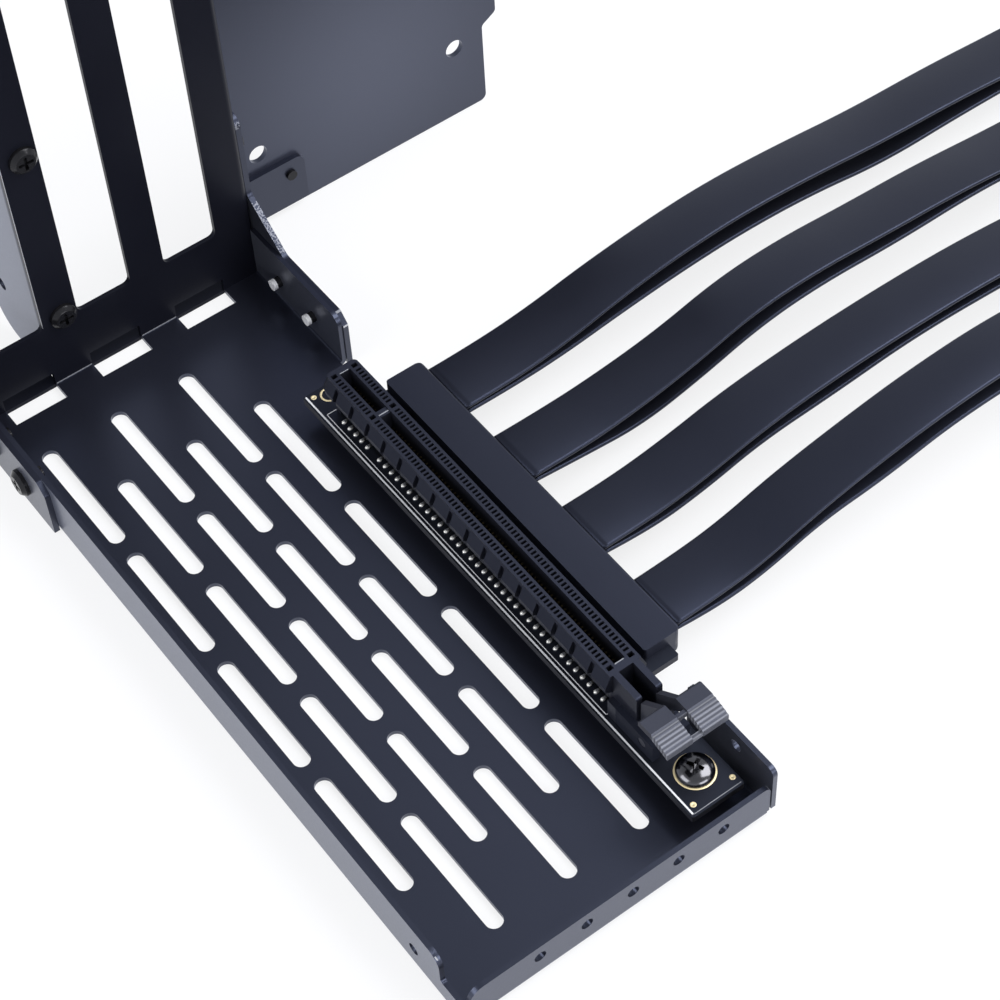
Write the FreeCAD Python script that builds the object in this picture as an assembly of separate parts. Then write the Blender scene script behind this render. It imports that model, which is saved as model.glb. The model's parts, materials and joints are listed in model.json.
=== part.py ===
import FreeCAD, Part
import math
import os

from FreeCAD import Vector

# Vertical graphics card mount: a slotted sheet tray, a three-window card plate, side plates,
# a rear panel, and a sixteen-lane riser whose slot stands on the tray and whose flat ribbons
# run to an edge plug. Millimetres. X runs from the card plate to the front of the tray,
# Y from the left flange to the riser side, Z up from the tray's underside.

# Folded sheet
SHEET = 1.0
PLATE_SHEET = 1.2
BEND_INNER = 0.5
TRAY_LENGTH = 165.0
TRAY_WIDTH = 68.0
LEFT_FLANGE_HEIGHT = 13.4
RIGHT_FLANGE_HEIGHT = 13.6
FRONT_FLANGE_HEIGHT = 9.4
LEFT_FLANGE_STEP_HEIGHT = 6.3
LEFT_FLANGE_STEP_LENGTH = 6.5
REAR_TONGUE_LENGTH = 31.5
FRONT_TONGUE_LENGTH = 23.5
CORNER_GAP = 0.4
FLANGE_HOLE_HEIGHT = 6.1
FLANGE_HOLE_PITCH = 10.0
FLANGE_HOLE_COUNT = 5
FLANGE_HOLES_MIDDLE = 2.1
SIDE_HOLE_INSET = 14.3
RIGHT_HOLE_INSET = 10.0
RIGHT_HOLE_HEIGHT = 10.0

# Vent slots in the tray floor
VENT_LENGTH = 28.3
VENT_WIDTH = 3.45
VENT_ROW_PITCH = 8.0
VENT_COLUMN_PITCH = 32.0
VENT_STAGGER = 15.6
VENT_FIRST_X = 28.25
VENT_SIDE_MARGIN = 7.5
VENT_BOARD_MARGIN = 3.0

# Card plate
CARD_PITCH = 20.32
CARD_COUNT = 3
CARD_TO_WINDOW = 5.5
WINDOW_WIDTH = 12.4
WINDOW_BOTTOM = 17.0
WINDOW_HEIGHT = 90.0
WINDOW_CORNER = 1.5
TONGUE_WIDTH = 11.8
TONGUE_DEPTH = 4.4
TONGUE_NOTCH_HEIGHT = 3.2
PLATE_HEIGHT = 118.0
PLATE_SIDE_DEPTH = 9.5
SHELF_DEPTH = 13.0
SHELF_HOLE_INSET = 6.5
SHELF_HOLE_OFFSET = 5.0
SHELF_HOLE_RADIUS = 1.42

# Side plates, rear panel and rear bracket
SIDE_PLATE_FRONT = 31.8
SIDE_PLATE_LOW_HEIGHT = 13.4
SIDE_PLATE_HIGH_HEIGHT = 43.0
SIDE_PLATE_SLANT_LENGTH = 11.6
SIDE_PLATE_SLANT_RISE = 9.1
SIDE_PLATE_CHAMFER = 2.4
SIDE_SCREW_XS = (9.5, 21.8)
SIDE_SCREW_HEIGHT = 6.2
UPPER_SCREW_HEIGHT = 33.5
PANEL_SETBACK = 12.4
TAB_WIDTH = 19.8
TAB_HEIGHT = 12.3
TAB_BOTTOM = 1.5
TAB_SCREW_INSET = 3.6
TAB_SCREW_HEIGHT = 9.9
PANEL_WIDTH = 69.1
PANEL_STEP_OUT = 3.7
PANEL_STEP_HEIGHT = 21.5
PANEL_HOLE_RADIUS = 2.15
PANEL_HOLE_HEIGHT = 18.75
PANEL_HOLE_INSET = 7.7
PANEL_HOLE_RIGHT_INSET = 11.15
BRACKET_DEPTH = 22.5
BRACKET_WEB_WIDTH = 7.2
BRACKET_HEIGHT = 79.0
BRACKET_BOTTOM = 0.5
BRACKET_CORNER = 7.5
BRACKET_SCREW_INSET = 17.9
BRACKET_HOLE_RADIUS = 1.6
BRACKET_HOLE_INSET = 6.0
BRACKET_HOLE_EDGE = 15.2

# Fasteners
TAP_RADIUS = 1.25
SHANK_RADIUS = 1.2
CLEARANCE_RADIUS = 1.6
HEAD_RADIUS = 2.9
HEAD_HEIGHT = 1.6
THREAD_REACH = 4.2
HEAD_RIM_SHARE = 0.5
HEAD_CROWN_SHARE = 0.72
CROSS_SHARE = 1.1
CROSS_WIDTH = 0.7
CROSS_DEPTH = 0.9

# Riser board
BOARD_STANDOFF = 5.0
BOARD_THICKNESS = 1.6
BOARD_RIGHT_INSET = 3.6
BOARD_NARROW_WIDTH = 11.72
BOARD_WIDE_WIDTH = 19.7
BOARD_BEHIND_SLOT = 6.4
BOARD_AHEAD_OF_SLOT = 26.0
BOARD_LEDGE = 2.9
BOARD_SCREW_INSET = 7.2
BOARD_SCREW_HEAD_RADIUS = 3.6
BOARD_SCREW_HEAD_HEIGHT = 2.0
BOARD_HOLE_RADIUS = 1.7
STANDOFF_RADIUS = 2.6
REAR_STANDOFF_RADIUS = 2.0
REAR_SCREW_SHANK_RADIUS = 0.95
REAR_SCREW_TAP_RADIUS = 1.0
REAR_SCREW_HEAD_RADIUS = 2.1
REAR_SCREW_HEAD_HEIGHT = 1.4
REAR_SCREW_X = 56.0
FRONT_SCREW_REACH = 5.0
REAR_SCREW_REACH = 4.6

# Sixteen-lane slot
SLOT_OFFSET = 5.77
SLOT_REAR = 45.8
SLOT_TOP_WIDTH = 7.0
SLOT_SKIRT_WIDTH = 9.3
SLOT_STEM_WIDTH = 4.4
SLOT_HEIGHT = 11.25
SLOT_SKIRT_TOP = 8.3
SLOT_SKIRT_BOTTOM = 7.4
SLOT_RIM = 0.35
SLOT_STEM_BOTTOM = 0.9
SLOT_FLOOR = 2.0
SLOT_END_FLARE = 1.4
SLOT_FOOT_INSET = 0.4
CAVITY_WIDTH = 2.4
CAVITY_MARGIN = 1.2
CAVITY_WALL_REAR = 1.7
CAVITY_WALL_FRONT = 1.8
KEY_WIDTH = 1.7
KEY_TOP_DROP = 0.3
CONTACT_PITCH = 1.0
CONTACTS_BEFORE_KEY = 11
CONTACTS_AFTER_KEY = 71
KEY_GAP = 3.0
CELL_WIDTH = 0.55
CELL_INNER = 1.75
CELL_OUTER = 2.95
CELL_DEPTH = 2.2
END_CELL_WIDTH = 1.0
END_CELL_GAP = 1.4
CONTACT_WIDTH = 0.45
CONTACT_THICKNESS = 0.4
CONTACT_TOP = 6.8
CONTACT_FOOT_REACH = 2.9
CONTACT_FOOT_HEIGHT = 0.5
RIB_PITCH = 16.0 / 3.0
RIB_GROOVE_WIDTH = 1.1
RIB_FIRST_X = 50.05
ARM_LENGTH = 6.7
ARM_INNER = 1.6
ARM_OUTER = 2.9
BASE_HEIGHT = 4.6
BASE_LENGTH = 12.8
BASE_WIDTH = 8.4
BASE_CHANNEL = 5.2

# Slot latch
PIVOT_FORWARD = 9.7
PIVOT_HEIGHT = 2.6
PIN_RADIUS = 1.0
PIN_CLEARANCE = 0.05
LATCH_BOSS_RADIUS = 1.9
LATCH_CHEEK_WIDTH = 4.6
LATCH_GAP = 2.3
TAB_TOP = 15.0
TAB_LENGTH = 8.1
THUMB_WIDTH = 5.65
THUMB_THICKNESS = 1.5
THUMB_DROP = 1.3
THUMB_RIDGES = 5
RIDGE_DEPTH = 0.3

# Cable cover and ribbons
COVER_LENGTH = 81.6
COVER_TOP_HEIGHT = 2.8
COVER_OVERLAP = 5.6
COVER_OVERHANG = 2.9
COVER_UNDER = 1.9
COVER_CORNER = 1.5
RIBBON_WIDTH = 12.8
RIBBON_THICKNESS = 1.0
RIBBON_PITCH = 21.7
RIBBON_COUNT = 4
CORNER_SHARE = 0.45

# Plug at the far end
PLUG_BOTTOM_HEIGHT = 4.4
PLUG_TOP_HEIGHT = 5.0
PLUG_LENGTH = 89.0
PLUG_DEPTH = 17.0
PLUG_BOARD_INSET = 2.0
EDGE_LENGTH = 84.6
EDGE_REACH = 8.3
EDGE_KEY_WIDTH = 1.9
EDGE_KEY_MARGIN = 0.8

# Derived places
BEND_OUTER = BEND_INNER + SHEET
HALF_WIDTH = TRAY_WIDTH / 2
RIGHT_INNER = HALF_WIDTH - SHEET
BOARD_BOTTOM = SHEET + BOARD_STANDOFF
BOARD_TOP = BOARD_BOTTOM + BOARD_THICKNESS
BOARD_LEFT = HALF_WIDTH - BOARD_RIGHT_INSET - BOARD_NARROW_WIDTH
BOARD_NARROW_RIGHT = BOARD_LEFT + BOARD_NARROW_WIDTH
BOARD_WIDE_RIGHT = BOARD_LEFT + BOARD_WIDE_WIDTH
SLOT_Y = BOARD_LEFT + SLOT_OFFSET
CONTACT_SPAN = (CONTACTS_BEFORE_KEY + CONTACTS_AFTER_KEY - 2) * CONTACT_PITCH + KEY_GAP
CAVITY_REAR = SLOT_REAR + CAVITY_WALL_REAR
FIRST_CONTACT_X = CAVITY_REAR + CAVITY_MARGIN
LAST_CONTACT_X = FIRST_CONTACT_X + CONTACT_SPAN
KEY_X = FIRST_CONTACT_X + (CONTACTS_BEFORE_KEY - 1) * CONTACT_PITCH + KEY_GAP / 2
CAVITY_FRONT = LAST_CONTACT_X + CAVITY_MARGIN
SLOT_FRONT = CAVITY_FRONT + CAVITY_WALL_FRONT
BOARD_REAR = SLOT_REAR - BOARD_BEHIND_SLOT
BOARD_FRONT = SLOT_FRONT + BOARD_AHEAD_OF_SLOT
SLOT_TOP = BOARD_TOP + SLOT_HEIGHT
PIVOT_X = SLOT_FRONT + PIVOT_FORWARD
PIVOT_Z = BOARD_TOP + PIVOT_HEIGHT
COVER_REAR = SLOT_REAR + 2.3
COVER_FRONT = COVER_REAR + COVER_LENGTH
BOARD_WIDE_FRONT = COVER_FRONT + BOARD_LEDGE
COVER_LEFT = BOARD_WIDE_RIGHT - COVER_OVERLAP
COVER_RIGHT = BOARD_WIDE_RIGHT + COVER_OVERHANG
COVER_TOP = BOARD_TOP + COVER_TOP_HEIGHT
SIDE_OUTER = HALF_WIDTH + PLATE_SHEET
PANEL_LEFT = SIDE_OUTER + 1.0
WINDOW_YS = [SLOT_Y - CARD_TO_WINDOW - i * CARD_PITCH for i in range(CARD_COUNT)]
BAR_Y = (WINDOW_YS[1] + WINDOW_YS[2]) / 2
BRACKET_LEFT = WINDOW_YS[2] + WINDOW_WIDTH / 2 + 0.3
BRACKET_SCREW_Y = BRACKET_LEFT + 4.4
REAR_SCREW_Y = BOARD_WIDE_RIGHT - COVER_OVERLAP - REAR_SCREW_HEAD_RADIUS - 0.25
BOARD_SCREW_X = BOARD_FRONT - BOARD_SCREW_INSET
BOARD_SCREW_Y = BOARD_NARROW_RIGHT - BOARD_NARROW_WIDTH / 2 + 0.5


def box(x0, x1, y0, y1, z0, z1):
    return Part.makeBox(x1 - x0, y1 - y0, z1 - z0, Vector(x0, y0, z0))


def on_xy(level):
    return lambda u, v: Vector(u, v, level)


def on_xz(level):
    return lambda u, v: Vector(u, level, v)


def on_yz(level):
    return lambda u, v: Vector(level, u, v)


def corner_points(before, corner, after, radius):
    # Start, middle and end of the arc that rounds one corner of a flat outline.
    back = (before[0] - corner[0], before[1] - corner[1])
    ahead = (after[0] - corner[0], after[1] - corner[1])
    back_length = math.hypot(*back)
    ahead_length = math.hypot(*ahead)
    back = (back[0] / back_length, back[1] / back_length)
    ahead = (ahead[0] / ahead_length, ahead[1] / ahead_length)
    half = math.acos(max(-1.0, min(1.0, back[0] * ahead[0] + back[1] * ahead[1]))) / 2
    reach = radius / math.tan(half)
    middle = (back[0] + ahead[0], back[1] + ahead[1])
    middle_length = math.hypot(*middle)
    depth = radius / math.sin(half) - radius
    start = (corner[0] + back[0] * reach, corner[1] + back[1] * reach)
    end = (corner[0] + ahead[0] * reach, corner[1] + ahead[1] * reach)
    apex = (corner[0] + middle[0] / middle_length * depth, corner[1] + middle[1] / middle_length * depth)
    return start, apex, end


def outline(points, place):
    # Closed wire through (u, v) or (u, v, radius) corners.
    count = len(points)
    pieces = []
    for i in range(count):
        corner = points[i]
        if len(corner) == 3:
            arc = corner_points(points[i - 1], corner, points[(i + 1) % count], corner[2])
        else:
            arc = (corner, None, corner)
        pieces.append(arc)
    edges = []
    for i in range(count):
        start, apex, end = pieces[i]
        if apex is not None:
            edges.append(Part.Arc(place(*start[:2]), place(*apex), place(*end[:2])).toShape())
        following = pieces[(i + 1) % count][0]
        a = place(*end[:2])
        b = place(*following[:2])
        if a.distanceToPoint(b) > 1e-6:
            edges.append(Part.LineSegment(a, b).toShape())
    return Part.Wire(edges)


def slab_xy(points, z0, z1):
    return Part.Face(outline(points, on_xy(z0))).extrude(Vector(0, 0, z1 - z0))


def slab_xz(points, y0, y1):
    return Part.Face(outline(points, on_xz(y0))).extrude(Vector(0, y1 - y0, 0))


def slab_yz(points, x0, x1):
    return Part.Face(outline(points, on_yz(x0))).extrude(Vector(x1 - x0, 0, 0))


def rod(radius, start, direction, length):
    return Part.makeCylinder(radius, length, start, direction)


def fused(shapes):
    return shapes[0].multiFuse(shapes[1:]).removeSplitter()


def cross_recess(top, length):
    half = CROSS_WIDTH / 2
    bottom = top - CROSS_DEPTH
    along = box(-length / 2, length / 2, -half, half, bottom, top + 1)
    across = box(-half, half, -length / 2, length / 2, bottom, top + 1)
    return along.fuse(across)


def pan_screw(seat, direction, reach, head_radius, head_height, shank_radius):
    # Pan-head screw with a cross recess. seat is the centre of the face under the head, and
    # direction points out of the head.
    rim = head_height * HEAD_RIM_SHARE
    crown_radius = head_radius * HEAD_CROWN_SHARE
    profile = Part.makePolygon([
        Vector(0, 0, -reach),
        Vector(shank_radius, 0, -reach),
        Vector(shank_radius, 0, 0),
        Vector(head_radius, 0, 0),
        Vector(head_radius, 0, rim),
        Vector(crown_radius, 0, head_height),
        Vector(0, 0, head_height),
        Vector(0, 0, -reach),
    ])
    solid = Part.Face(profile).revolve(Vector(0, 0, 0), Vector(0, 0, 1), 360)
    solid = solid.cut(cross_recess(head_height, head_radius * CROSS_SHARE))
    solid.Placement = FreeCAD.Placement(seat, FreeCAD.Rotation(Vector(0, 0, 1), direction))
    return solid


def machine_screw(seat, direction, reach):
    return pan_screw(seat, direction, reach, HEAD_RADIUS, HEAD_HEIGHT, SHANK_RADIUS)


def vent_places():
    # Staggered rows of vent slots between the left flange and the riser board.
    places = []
    row = 0
    y = -HALF_WIDTH + VENT_SIDE_MARGIN
    while y <= BOARD_LEFT - VENT_BOARD_MARGIN:
        x = VENT_FIRST_X + (VENT_STAGGER if row % 2 else 0.0)
        while x + VENT_LENGTH / 2 <= TRAY_LENGTH - FRONT_FLANGE_HEIGHT:
            places.append((x, y))
            x += VENT_COLUMN_PITCH
        row += 1
        y += VENT_ROW_PITCH
    return places


def vent_cutter(x, y):
    half = VENT_WIDTH / 2
    straight = VENT_LENGTH / 2 - half
    edges = [
        Part.LineSegment(Vector(x - straight, y - half, -1), Vector(x + straight, y - half, -1)).toShape(),
        Part.Arc(Vector(x + straight, y - half, -1), Vector(x + straight + half, y, -1),
                 Vector(x + straight, y + half, -1)).toShape(),
        Part.LineSegment(Vector(x + straight, y + half, -1), Vector(x - straight, y + half, -1)).toShape(),
        Part.Arc(Vector(x - straight, y + half, -1), Vector(x - straight - half, y, -1),
                 Vector(x - straight, y - half, -1)).toShape(),
    ]
    return Part.Face(Part.Wire(edges)).extrude(Vector(0, 0, SHEET + 2))


def tray():
    # Floor with both side bends, as one channel.
    channel = slab_yz([
        (-HALF_WIDTH, BEND_OUTER),
        (-HALF_WIDTH, 0, BEND_OUTER),
        (HALF_WIDTH, 0, BEND_OUTER),
        (HALF_WIDTH, BEND_OUTER),
        (RIGHT_INNER, BEND_OUTER),
        (RIGHT_INNER, SHEET, BEND_INNER),
        (-RIGHT_INNER, SHEET, BEND_INNER),
        (-RIGHT_INNER, BEND_OUTER),
    ], 0, TRAY_LENGTH)
    front_half = RIGHT_INNER - CORNER_GAP
    front_cut = TRAY_LENGTH - 2 * BEND_OUTER
    channel = channel.cut(box(front_cut, TRAY_LENGTH + 1, -front_half, front_half, -1, SHEET + 1))
    front = slab_xz([
        (front_cut, 0),
        (TRAY_LENGTH, 0, BEND_OUTER),
        (TRAY_LENGTH, FRONT_FLANGE_HEIGHT),
        (TRAY_LENGTH - SHEET, FRONT_FLANGE_HEIGHT),
        (TRAY_LENGTH - SHEET, SHEET, BEND_INNER),
        (front_cut, SHEET),
    ], -front_half, front_half)
    corner = slab_yz([
        (-front_half - 1, -1),
        (front_half + 1, -1),
        (front_half + 1, FRONT_FLANGE_HEIGHT + 1),
        (-front_half - 1, FRONT_FLANGE_HEIGHT + 1),
    ], TRAY_LENGTH - SHEET - 0.1, TRAY_LENGTH + 1)
    kept = slab_yz([
        (-front_half, 0),
        (front_half, 0),
        (front_half, FRONT_FLANGE_HEIGHT, 1.5),
        (-front_half, FRONT_FLANGE_HEIGHT, 3.0),
    ], TRAY_LENGTH - SHEET - 0.2, TRAY_LENGTH + 1)
    front = front.cut(corner.cut(kept))
    step_x = TRAY_LENGTH - LEFT_FLANGE_STEP_LENGTH
    left = slab_xz([
        (0, BEND_OUTER),
        (TRAY_LENGTH, BEND_OUTER),
        (TRAY_LENGTH, LEFT_FLANGE_STEP_HEIGHT, 0.8),
        (step_x, LEFT_FLANGE_STEP_HEIGHT, 0.8),
        (step_x, LEFT_FLANGE_HEIGHT, 3.0),
        (0, LEFT_FLANGE_HEIGHT),
    ], -HALF_WIDTH, -RIGHT_INNER)
    right_rear = slab_xz([
        (0, BEND_OUTER),
        (REAR_TONGUE_LENGTH, BEND_OUTER),
        (REAR_TONGUE_LENGTH, RIGHT_FLANGE_HEIGHT, 2.5),
        (0, RIGHT_FLANGE_HEIGHT),
    ], RIGHT_INNER, HALF_WIDTH)
    front_start = TRAY_LENGTH - FRONT_TONGUE_LENGTH
    right_front = slab_xz([
        (front_start, BEND_OUTER),
        (TRAY_LENGTH, BEND_OUTER),
        (TRAY_LENGTH, RIGHT_FLANGE_HEIGHT, 1.6),
        (front_start, RIGHT_FLANGE_HEIGHT, 1.6),
    ], RIGHT_INNER, HALF_WIDTH)
    body = fused([channel, front, left, right_rear, right_front])
    cutters = [vent_cutter(x, y) for x, y in vent_places()]
    for y in WINDOW_YS:
        cutters.append(box(-1, TONGUE_DEPTH, y - TONGUE_WIDTH / 2, y + TONGUE_WIDTH / 2, -1, SHEET + 1))
    bend_start = HALF_WIDTH - BEND_OUTER
    cutters.append(box(REAR_TONGUE_LENGTH, front_start, bend_start, HALF_WIDTH + 1, -1, BEND_OUTER + 0.1))
    for side in (-1, 1):
        y0, y1 = sorted((side * (bend_start - 0.4), side * (HALF_WIDTH + 1)))
        cutters.append(box(TRAY_LENGTH - BEND_OUTER, TRAY_LENGTH + 1, y0, y1, -1, BEND_OUTER + 0.2))
    cutters += flange_holes()
    for x in SIDE_SCREW_XS:
        for side in (-1, 1):
            cutters.append(rod(TAP_RADIUS, Vector(x, side * (RIGHT_INNER - 1), SIDE_SCREW_HEIGHT),
                               Vector(0, side, 0), SHEET + 2))
    for x, y, radius in standoff_places():
        cutters.append(rod(radius - 0.95, Vector(x, y, -1), Vector(0, 0, 1), SHEET + 2))
    return body.cut(Part.makeCompound(cutters))


def flange_hole_ys():
    first = FLANGE_HOLES_MIDDLE - (FLANGE_HOLE_COUNT - 1) / 2 * FLANGE_HOLE_PITCH
    return [first + i * FLANGE_HOLE_PITCH for i in range(FLANGE_HOLE_COUNT)]


def flange_holes():
    inner = TRAY_LENGTH - SHEET - 1
    holes = [rod(TAP_RADIUS, Vector(inner, y, FLANGE_HOLE_HEIGHT), Vector(1, 0, 0), SHEET + 2)
             for y in flange_hole_ys()]
    holes.append(rod(TAP_RADIUS, Vector(TRAY_LENGTH - SIDE_HOLE_INSET, -HALF_WIDTH - 1, FLANGE_HOLE_HEIGHT),
                     Vector(0, 1, 0), SHEET + 2))
    holes.append(rod(TAP_RADIUS, Vector(TRAY_LENGTH - RIGHT_HOLE_INSET, RIGHT_INNER - 1, RIGHT_HOLE_HEIGHT),
                     Vector(0, 1, 0), SHEET + 2))
    return holes


def card_plate():
    # Front wall with both side folds turned to the rear.
    wall_top = PLATE_HEIGHT - BEND_OUTER
    wall = slab_xy([
        (-PLATE_SIDE_DEPTH, -HALF_WIDTH),
        (0, -HALF_WIDTH, BEND_OUTER),
        (0, HALF_WIDTH, BEND_OUTER),
        (-PLATE_SIDE_DEPTH, HALF_WIDTH),
        (-PLATE_SIDE_DEPTH, RIGHT_INNER),
        (-SHEET, RIGHT_INNER, BEND_INNER),
        (-SHEET, -RIGHT_INNER, BEND_INNER),
        (-PLATE_SIDE_DEPTH, -RIGHT_INNER),
    ], 0, wall_top)
    shelf_half = HALF_WIDTH - BEND_OUTER - CORNER_GAP
    wall = wall.cut(box(-SHEET - 1, 1, -shelf_half, shelf_half, wall_top - 2, wall_top + 1))
    shelf = slab_xz([
        (0, wall_top - 2),
        (0, PLATE_HEIGHT, BEND_OUTER),
        (-SHELF_DEPTH, PLATE_HEIGHT),
        (-SHELF_DEPTH, PLATE_HEIGHT - SHEET),
        (-SHEET, PLATE_HEIGHT - SHEET, BEND_INNER),
        (-SHEET, wall_top - 2),
    ], -shelf_half, shelf_half)
    body = fused([wall, shelf])
    cutters = []
    window_top = WINDOW_BOTTOM + WINDOW_HEIGHT
    for y in WINDOW_YS:
        low = y - WINDOW_WIDTH / 2
        high = y + WINDOW_WIDTH / 2
        cutters.append(slab_yz([
            (low, WINDOW_BOTTOM, WINDOW_CORNER),
            (high, WINDOW_BOTTOM, WINDOW_CORNER),
            (high, window_top, WINDOW_CORNER),
            (low, window_top, WINDOW_CORNER),
        ], -SHEET - 1, 1))
        notch = TONGUE_WIDTH / 2
        cutters.append(box(-SHEET - 1, 1, y - notch, y + notch, -1, SHEET + TONGUE_NOTCH_HEIGHT))
        cutters.append(rod(SHELF_HOLE_RADIUS,
                           Vector(-SHELF_HOLE_INSET, y + SHELF_HOLE_OFFSET, PLATE_HEIGHT - SHEET - 1),
                           Vector(0, 0, 1), SHEET + 2))
    for z in bracket_screw_heights():
        start = Vector(-SHEET - 1, BRACKET_SCREW_Y, z)
        cutters.append(rod(CLEARANCE_RADIUS, start, Vector(1, 0, 0), SHEET + 2))
    for side in (-1, 1):
        start = Vector(upper_screw_x(), side * (RIGHT_INNER - 1), UPPER_SCREW_HEIGHT)
        cutters.append(rod(TAP_RADIUS, start, Vector(0, side, 0), SHEET + 2))
    return body.cut(Part.makeCompound(cutters))


def upper_screw_x():
    return -PLATE_SIDE_DEPTH / 2 - SHEET


def side_screw_places():
    places = [(x, SIDE_SCREW_HEIGHT) for x in SIDE_SCREW_XS]
    places.append((upper_screw_x(), UPPER_SCREW_HEIGHT))
    return places


def side_plate_outline():
    rear = -PANEL_SETBACK + BEND_INNER + PLATE_SHEET
    slant_top = -SHEET
    slant_foot = slant_top + SIDE_PLATE_SLANT_LENGTH
    return [
        (rear, 0),
        (SIDE_PLATE_FRONT, 0),
        (SIDE_PLATE_FRONT, SIDE_PLATE_LOW_HEIGHT - SIDE_PLATE_CHAMFER, 1.0),
        (SIDE_PLATE_FRONT - SIDE_PLATE_CHAMFER, SIDE_PLATE_LOW_HEIGHT, 1.0),
        (slant_foot, SIDE_PLATE_LOW_HEIGHT, 2.0),
        (slant_top, SIDE_PLATE_LOW_HEIGHT + SIDE_PLATE_SLANT_RISE, 2.0),
        (slant_top, SIDE_PLATE_HIGH_HEIGHT, 2.5),
        (rear, SIDE_PLATE_HIGH_HEIGHT, 2.5),
    ]


def side_plate(side):
    y0, y1 = sorted((side * HALF_WIDTH, side * SIDE_OUTER))
    plate = slab_xz(side_plate_outline(), y0, y1)
    holes = [rod(CLEARANCE_RADIUS, Vector(x, y0 - 1, z), Vector(0, 1, 0), PLATE_SHEET + 2)
             for x, z in side_screw_places()]
    return plate.cut(Part.makeCompound(holes))


def tab_right_edge():
    return HALF_WIDTH + TAB_WIDTH


def side_plate_right():
    # The right side plate ends in a tab folded outwards, which carries the rear panel.
    plate = side_plate(1)
    rear = -PANEL_SETBACK
    bend = BEND_INNER + PLATE_SHEET
    top = TAB_BOTTOM + TAB_HEIGHT
    fold = slab_xy([
        (rear + bend, HALF_WIDTH),
        (rear, HALF_WIDTH, bend),
        (rear, HALF_WIDTH + bend + 1),
        (rear + PLATE_SHEET, HALF_WIDTH + bend + 1),
        (rear + PLATE_SHEET, SIDE_OUTER, BEND_INNER),
        (rear + bend, SIDE_OUTER),
    ], TAB_BOTTOM, top)
    tab = slab_yz([
        (HALF_WIDTH + bend + 1, TAB_BOTTOM),
        (tab_right_edge(), TAB_BOTTOM, 1.0),
        (tab_right_edge(), top, 2.0),
        (HALF_WIDTH + bend + 1, top),
    ], rear, rear + PLATE_SHEET)
    hole = rod(TAP_RADIUS, Vector(rear - 1, tab_right_edge() - TAB_SCREW_INSET, TAB_SCREW_HEIGHT),
               Vector(1, 0, 0), PLATE_SHEET + 2)
    return fused([plate, fold, tab]).cut(hole)


def side_plate_left():
    return side_plate(-1)


def rear_panel():
    rear = -PANEL_SETBACK - PLATE_SHEET
    low_right = PANEL_LEFT + PANEL_WIDTH - PANEL_STEP_OUT
    right = PANEL_LEFT + PANEL_WIDTH
    sheet = slab_yz([
        (PANEL_LEFT, 0, 1.5),
        (low_right, 0, 1.5),
        (low_right, PANEL_STEP_HEIGHT - 0.5, 1.2),
        (right, PANEL_STEP_HEIGHT + 1.7, 1.2),
        (right, PLATE_HEIGHT, 2.0),
        (PANEL_LEFT, PLATE_HEIGHT, 2.0),
    ], rear, -PANEL_SETBACK)
    depth = PLATE_SHEET + 2
    holes = [rod(PANEL_HOLE_RADIUS, Vector(rear - 1, y, PANEL_HOLE_HEIGHT), Vector(1, 0, 0), depth)
             for y in panel_hole_ys()]
    start = Vector(rear - 1, tab_right_edge() - TAB_SCREW_INSET, TAB_SCREW_HEIGHT)
    holes.append(rod(CLEARANCE_RADIUS, start, Vector(1, 0, 0), depth))
    return sheet.cut(Part.makeCompound(holes))


def panel_hole_ys():
    return [PANEL_LEFT + PANEL_HOLE_INSET, PANEL_LEFT + PANEL_WIDTH - PANEL_HOLE_RIGHT_INSET]


def bracket_screw_heights():
    return [BRACKET_BOTTOM + BRACKET_SCREW_INSET, BRACKET_BOTTOM + BRACKET_HEIGHT - BRACKET_SCREW_INSET]


def rear_bracket():
    # Angle screwed behind the bar between the second and third windows.
    bend = BEND_INNER + PLATE_SHEET
    front = -SHEET
    rear = front - BRACKET_DEPTH
    top = BRACKET_BOTTOM + BRACKET_HEIGHT
    angle = slab_xy([
        (front, BRACKET_LEFT + BRACKET_WEB_WIDTH),
        (front, BRACKET_LEFT, bend),
        (rear, BRACKET_LEFT),
        (rear, BRACKET_LEFT + PLATE_SHEET),
        (front - PLATE_SHEET, BRACKET_LEFT + PLATE_SHEET, BEND_INNER),
        (front - PLATE_SHEET, BRACKET_LEFT + BRACKET_WEB_WIDTH),
    ], BRACKET_BOTTOM, top)
    side = slab_xz([
        (rear, BRACKET_BOTTOM, BRACKET_CORNER),
        (front, BRACKET_BOTTOM),
        (front, top),
        (rear, top, BRACKET_CORNER),
    ], BRACKET_LEFT - 1, BRACKET_LEFT + BRACKET_WEB_WIDTH + 1)
    holes = [rod(TAP_RADIUS, Vector(front - PLATE_SHEET - 1, BRACKET_SCREW_Y, z), Vector(1, 0, 0),
                 PLATE_SHEET + 2) for z in bracket_screw_heights()]
    for z in (BRACKET_BOTTOM + BRACKET_HOLE_EDGE, top - BRACKET_HOLE_EDGE):
        holes.append(rod(BRACKET_HOLE_RADIUS, Vector(rear + BRACKET_HOLE_INSET, BRACKET_LEFT - 1, z),
                         Vector(0, 1, 0), PLATE_SHEET + 2))
    return angle.common(side).cut(Part.makeCompound(holes))


def bracket_screws():
    return Part.makeCompound([machine_screw(Vector(0, BRACKET_SCREW_Y, z), Vector(1, 0, 0), THREAD_REACH)
                              for z in bracket_screw_heights()])


def side_screws(side):
    out = Vector(0, side, 0)
    return Part.makeCompound([machine_screw(Vector(x, side * SIDE_OUTER, z), out, THREAD_REACH)
                              for x, z in side_screw_places()])


def panel_screw():
    seat = Vector(-PANEL_SETBACK - PLATE_SHEET, tab_right_edge() - TAB_SCREW_INSET, TAB_SCREW_HEIGHT)
    return machine_screw(seat, Vector(-1, 0, 0), 2 * PLATE_SHEET + 0.6)


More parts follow.
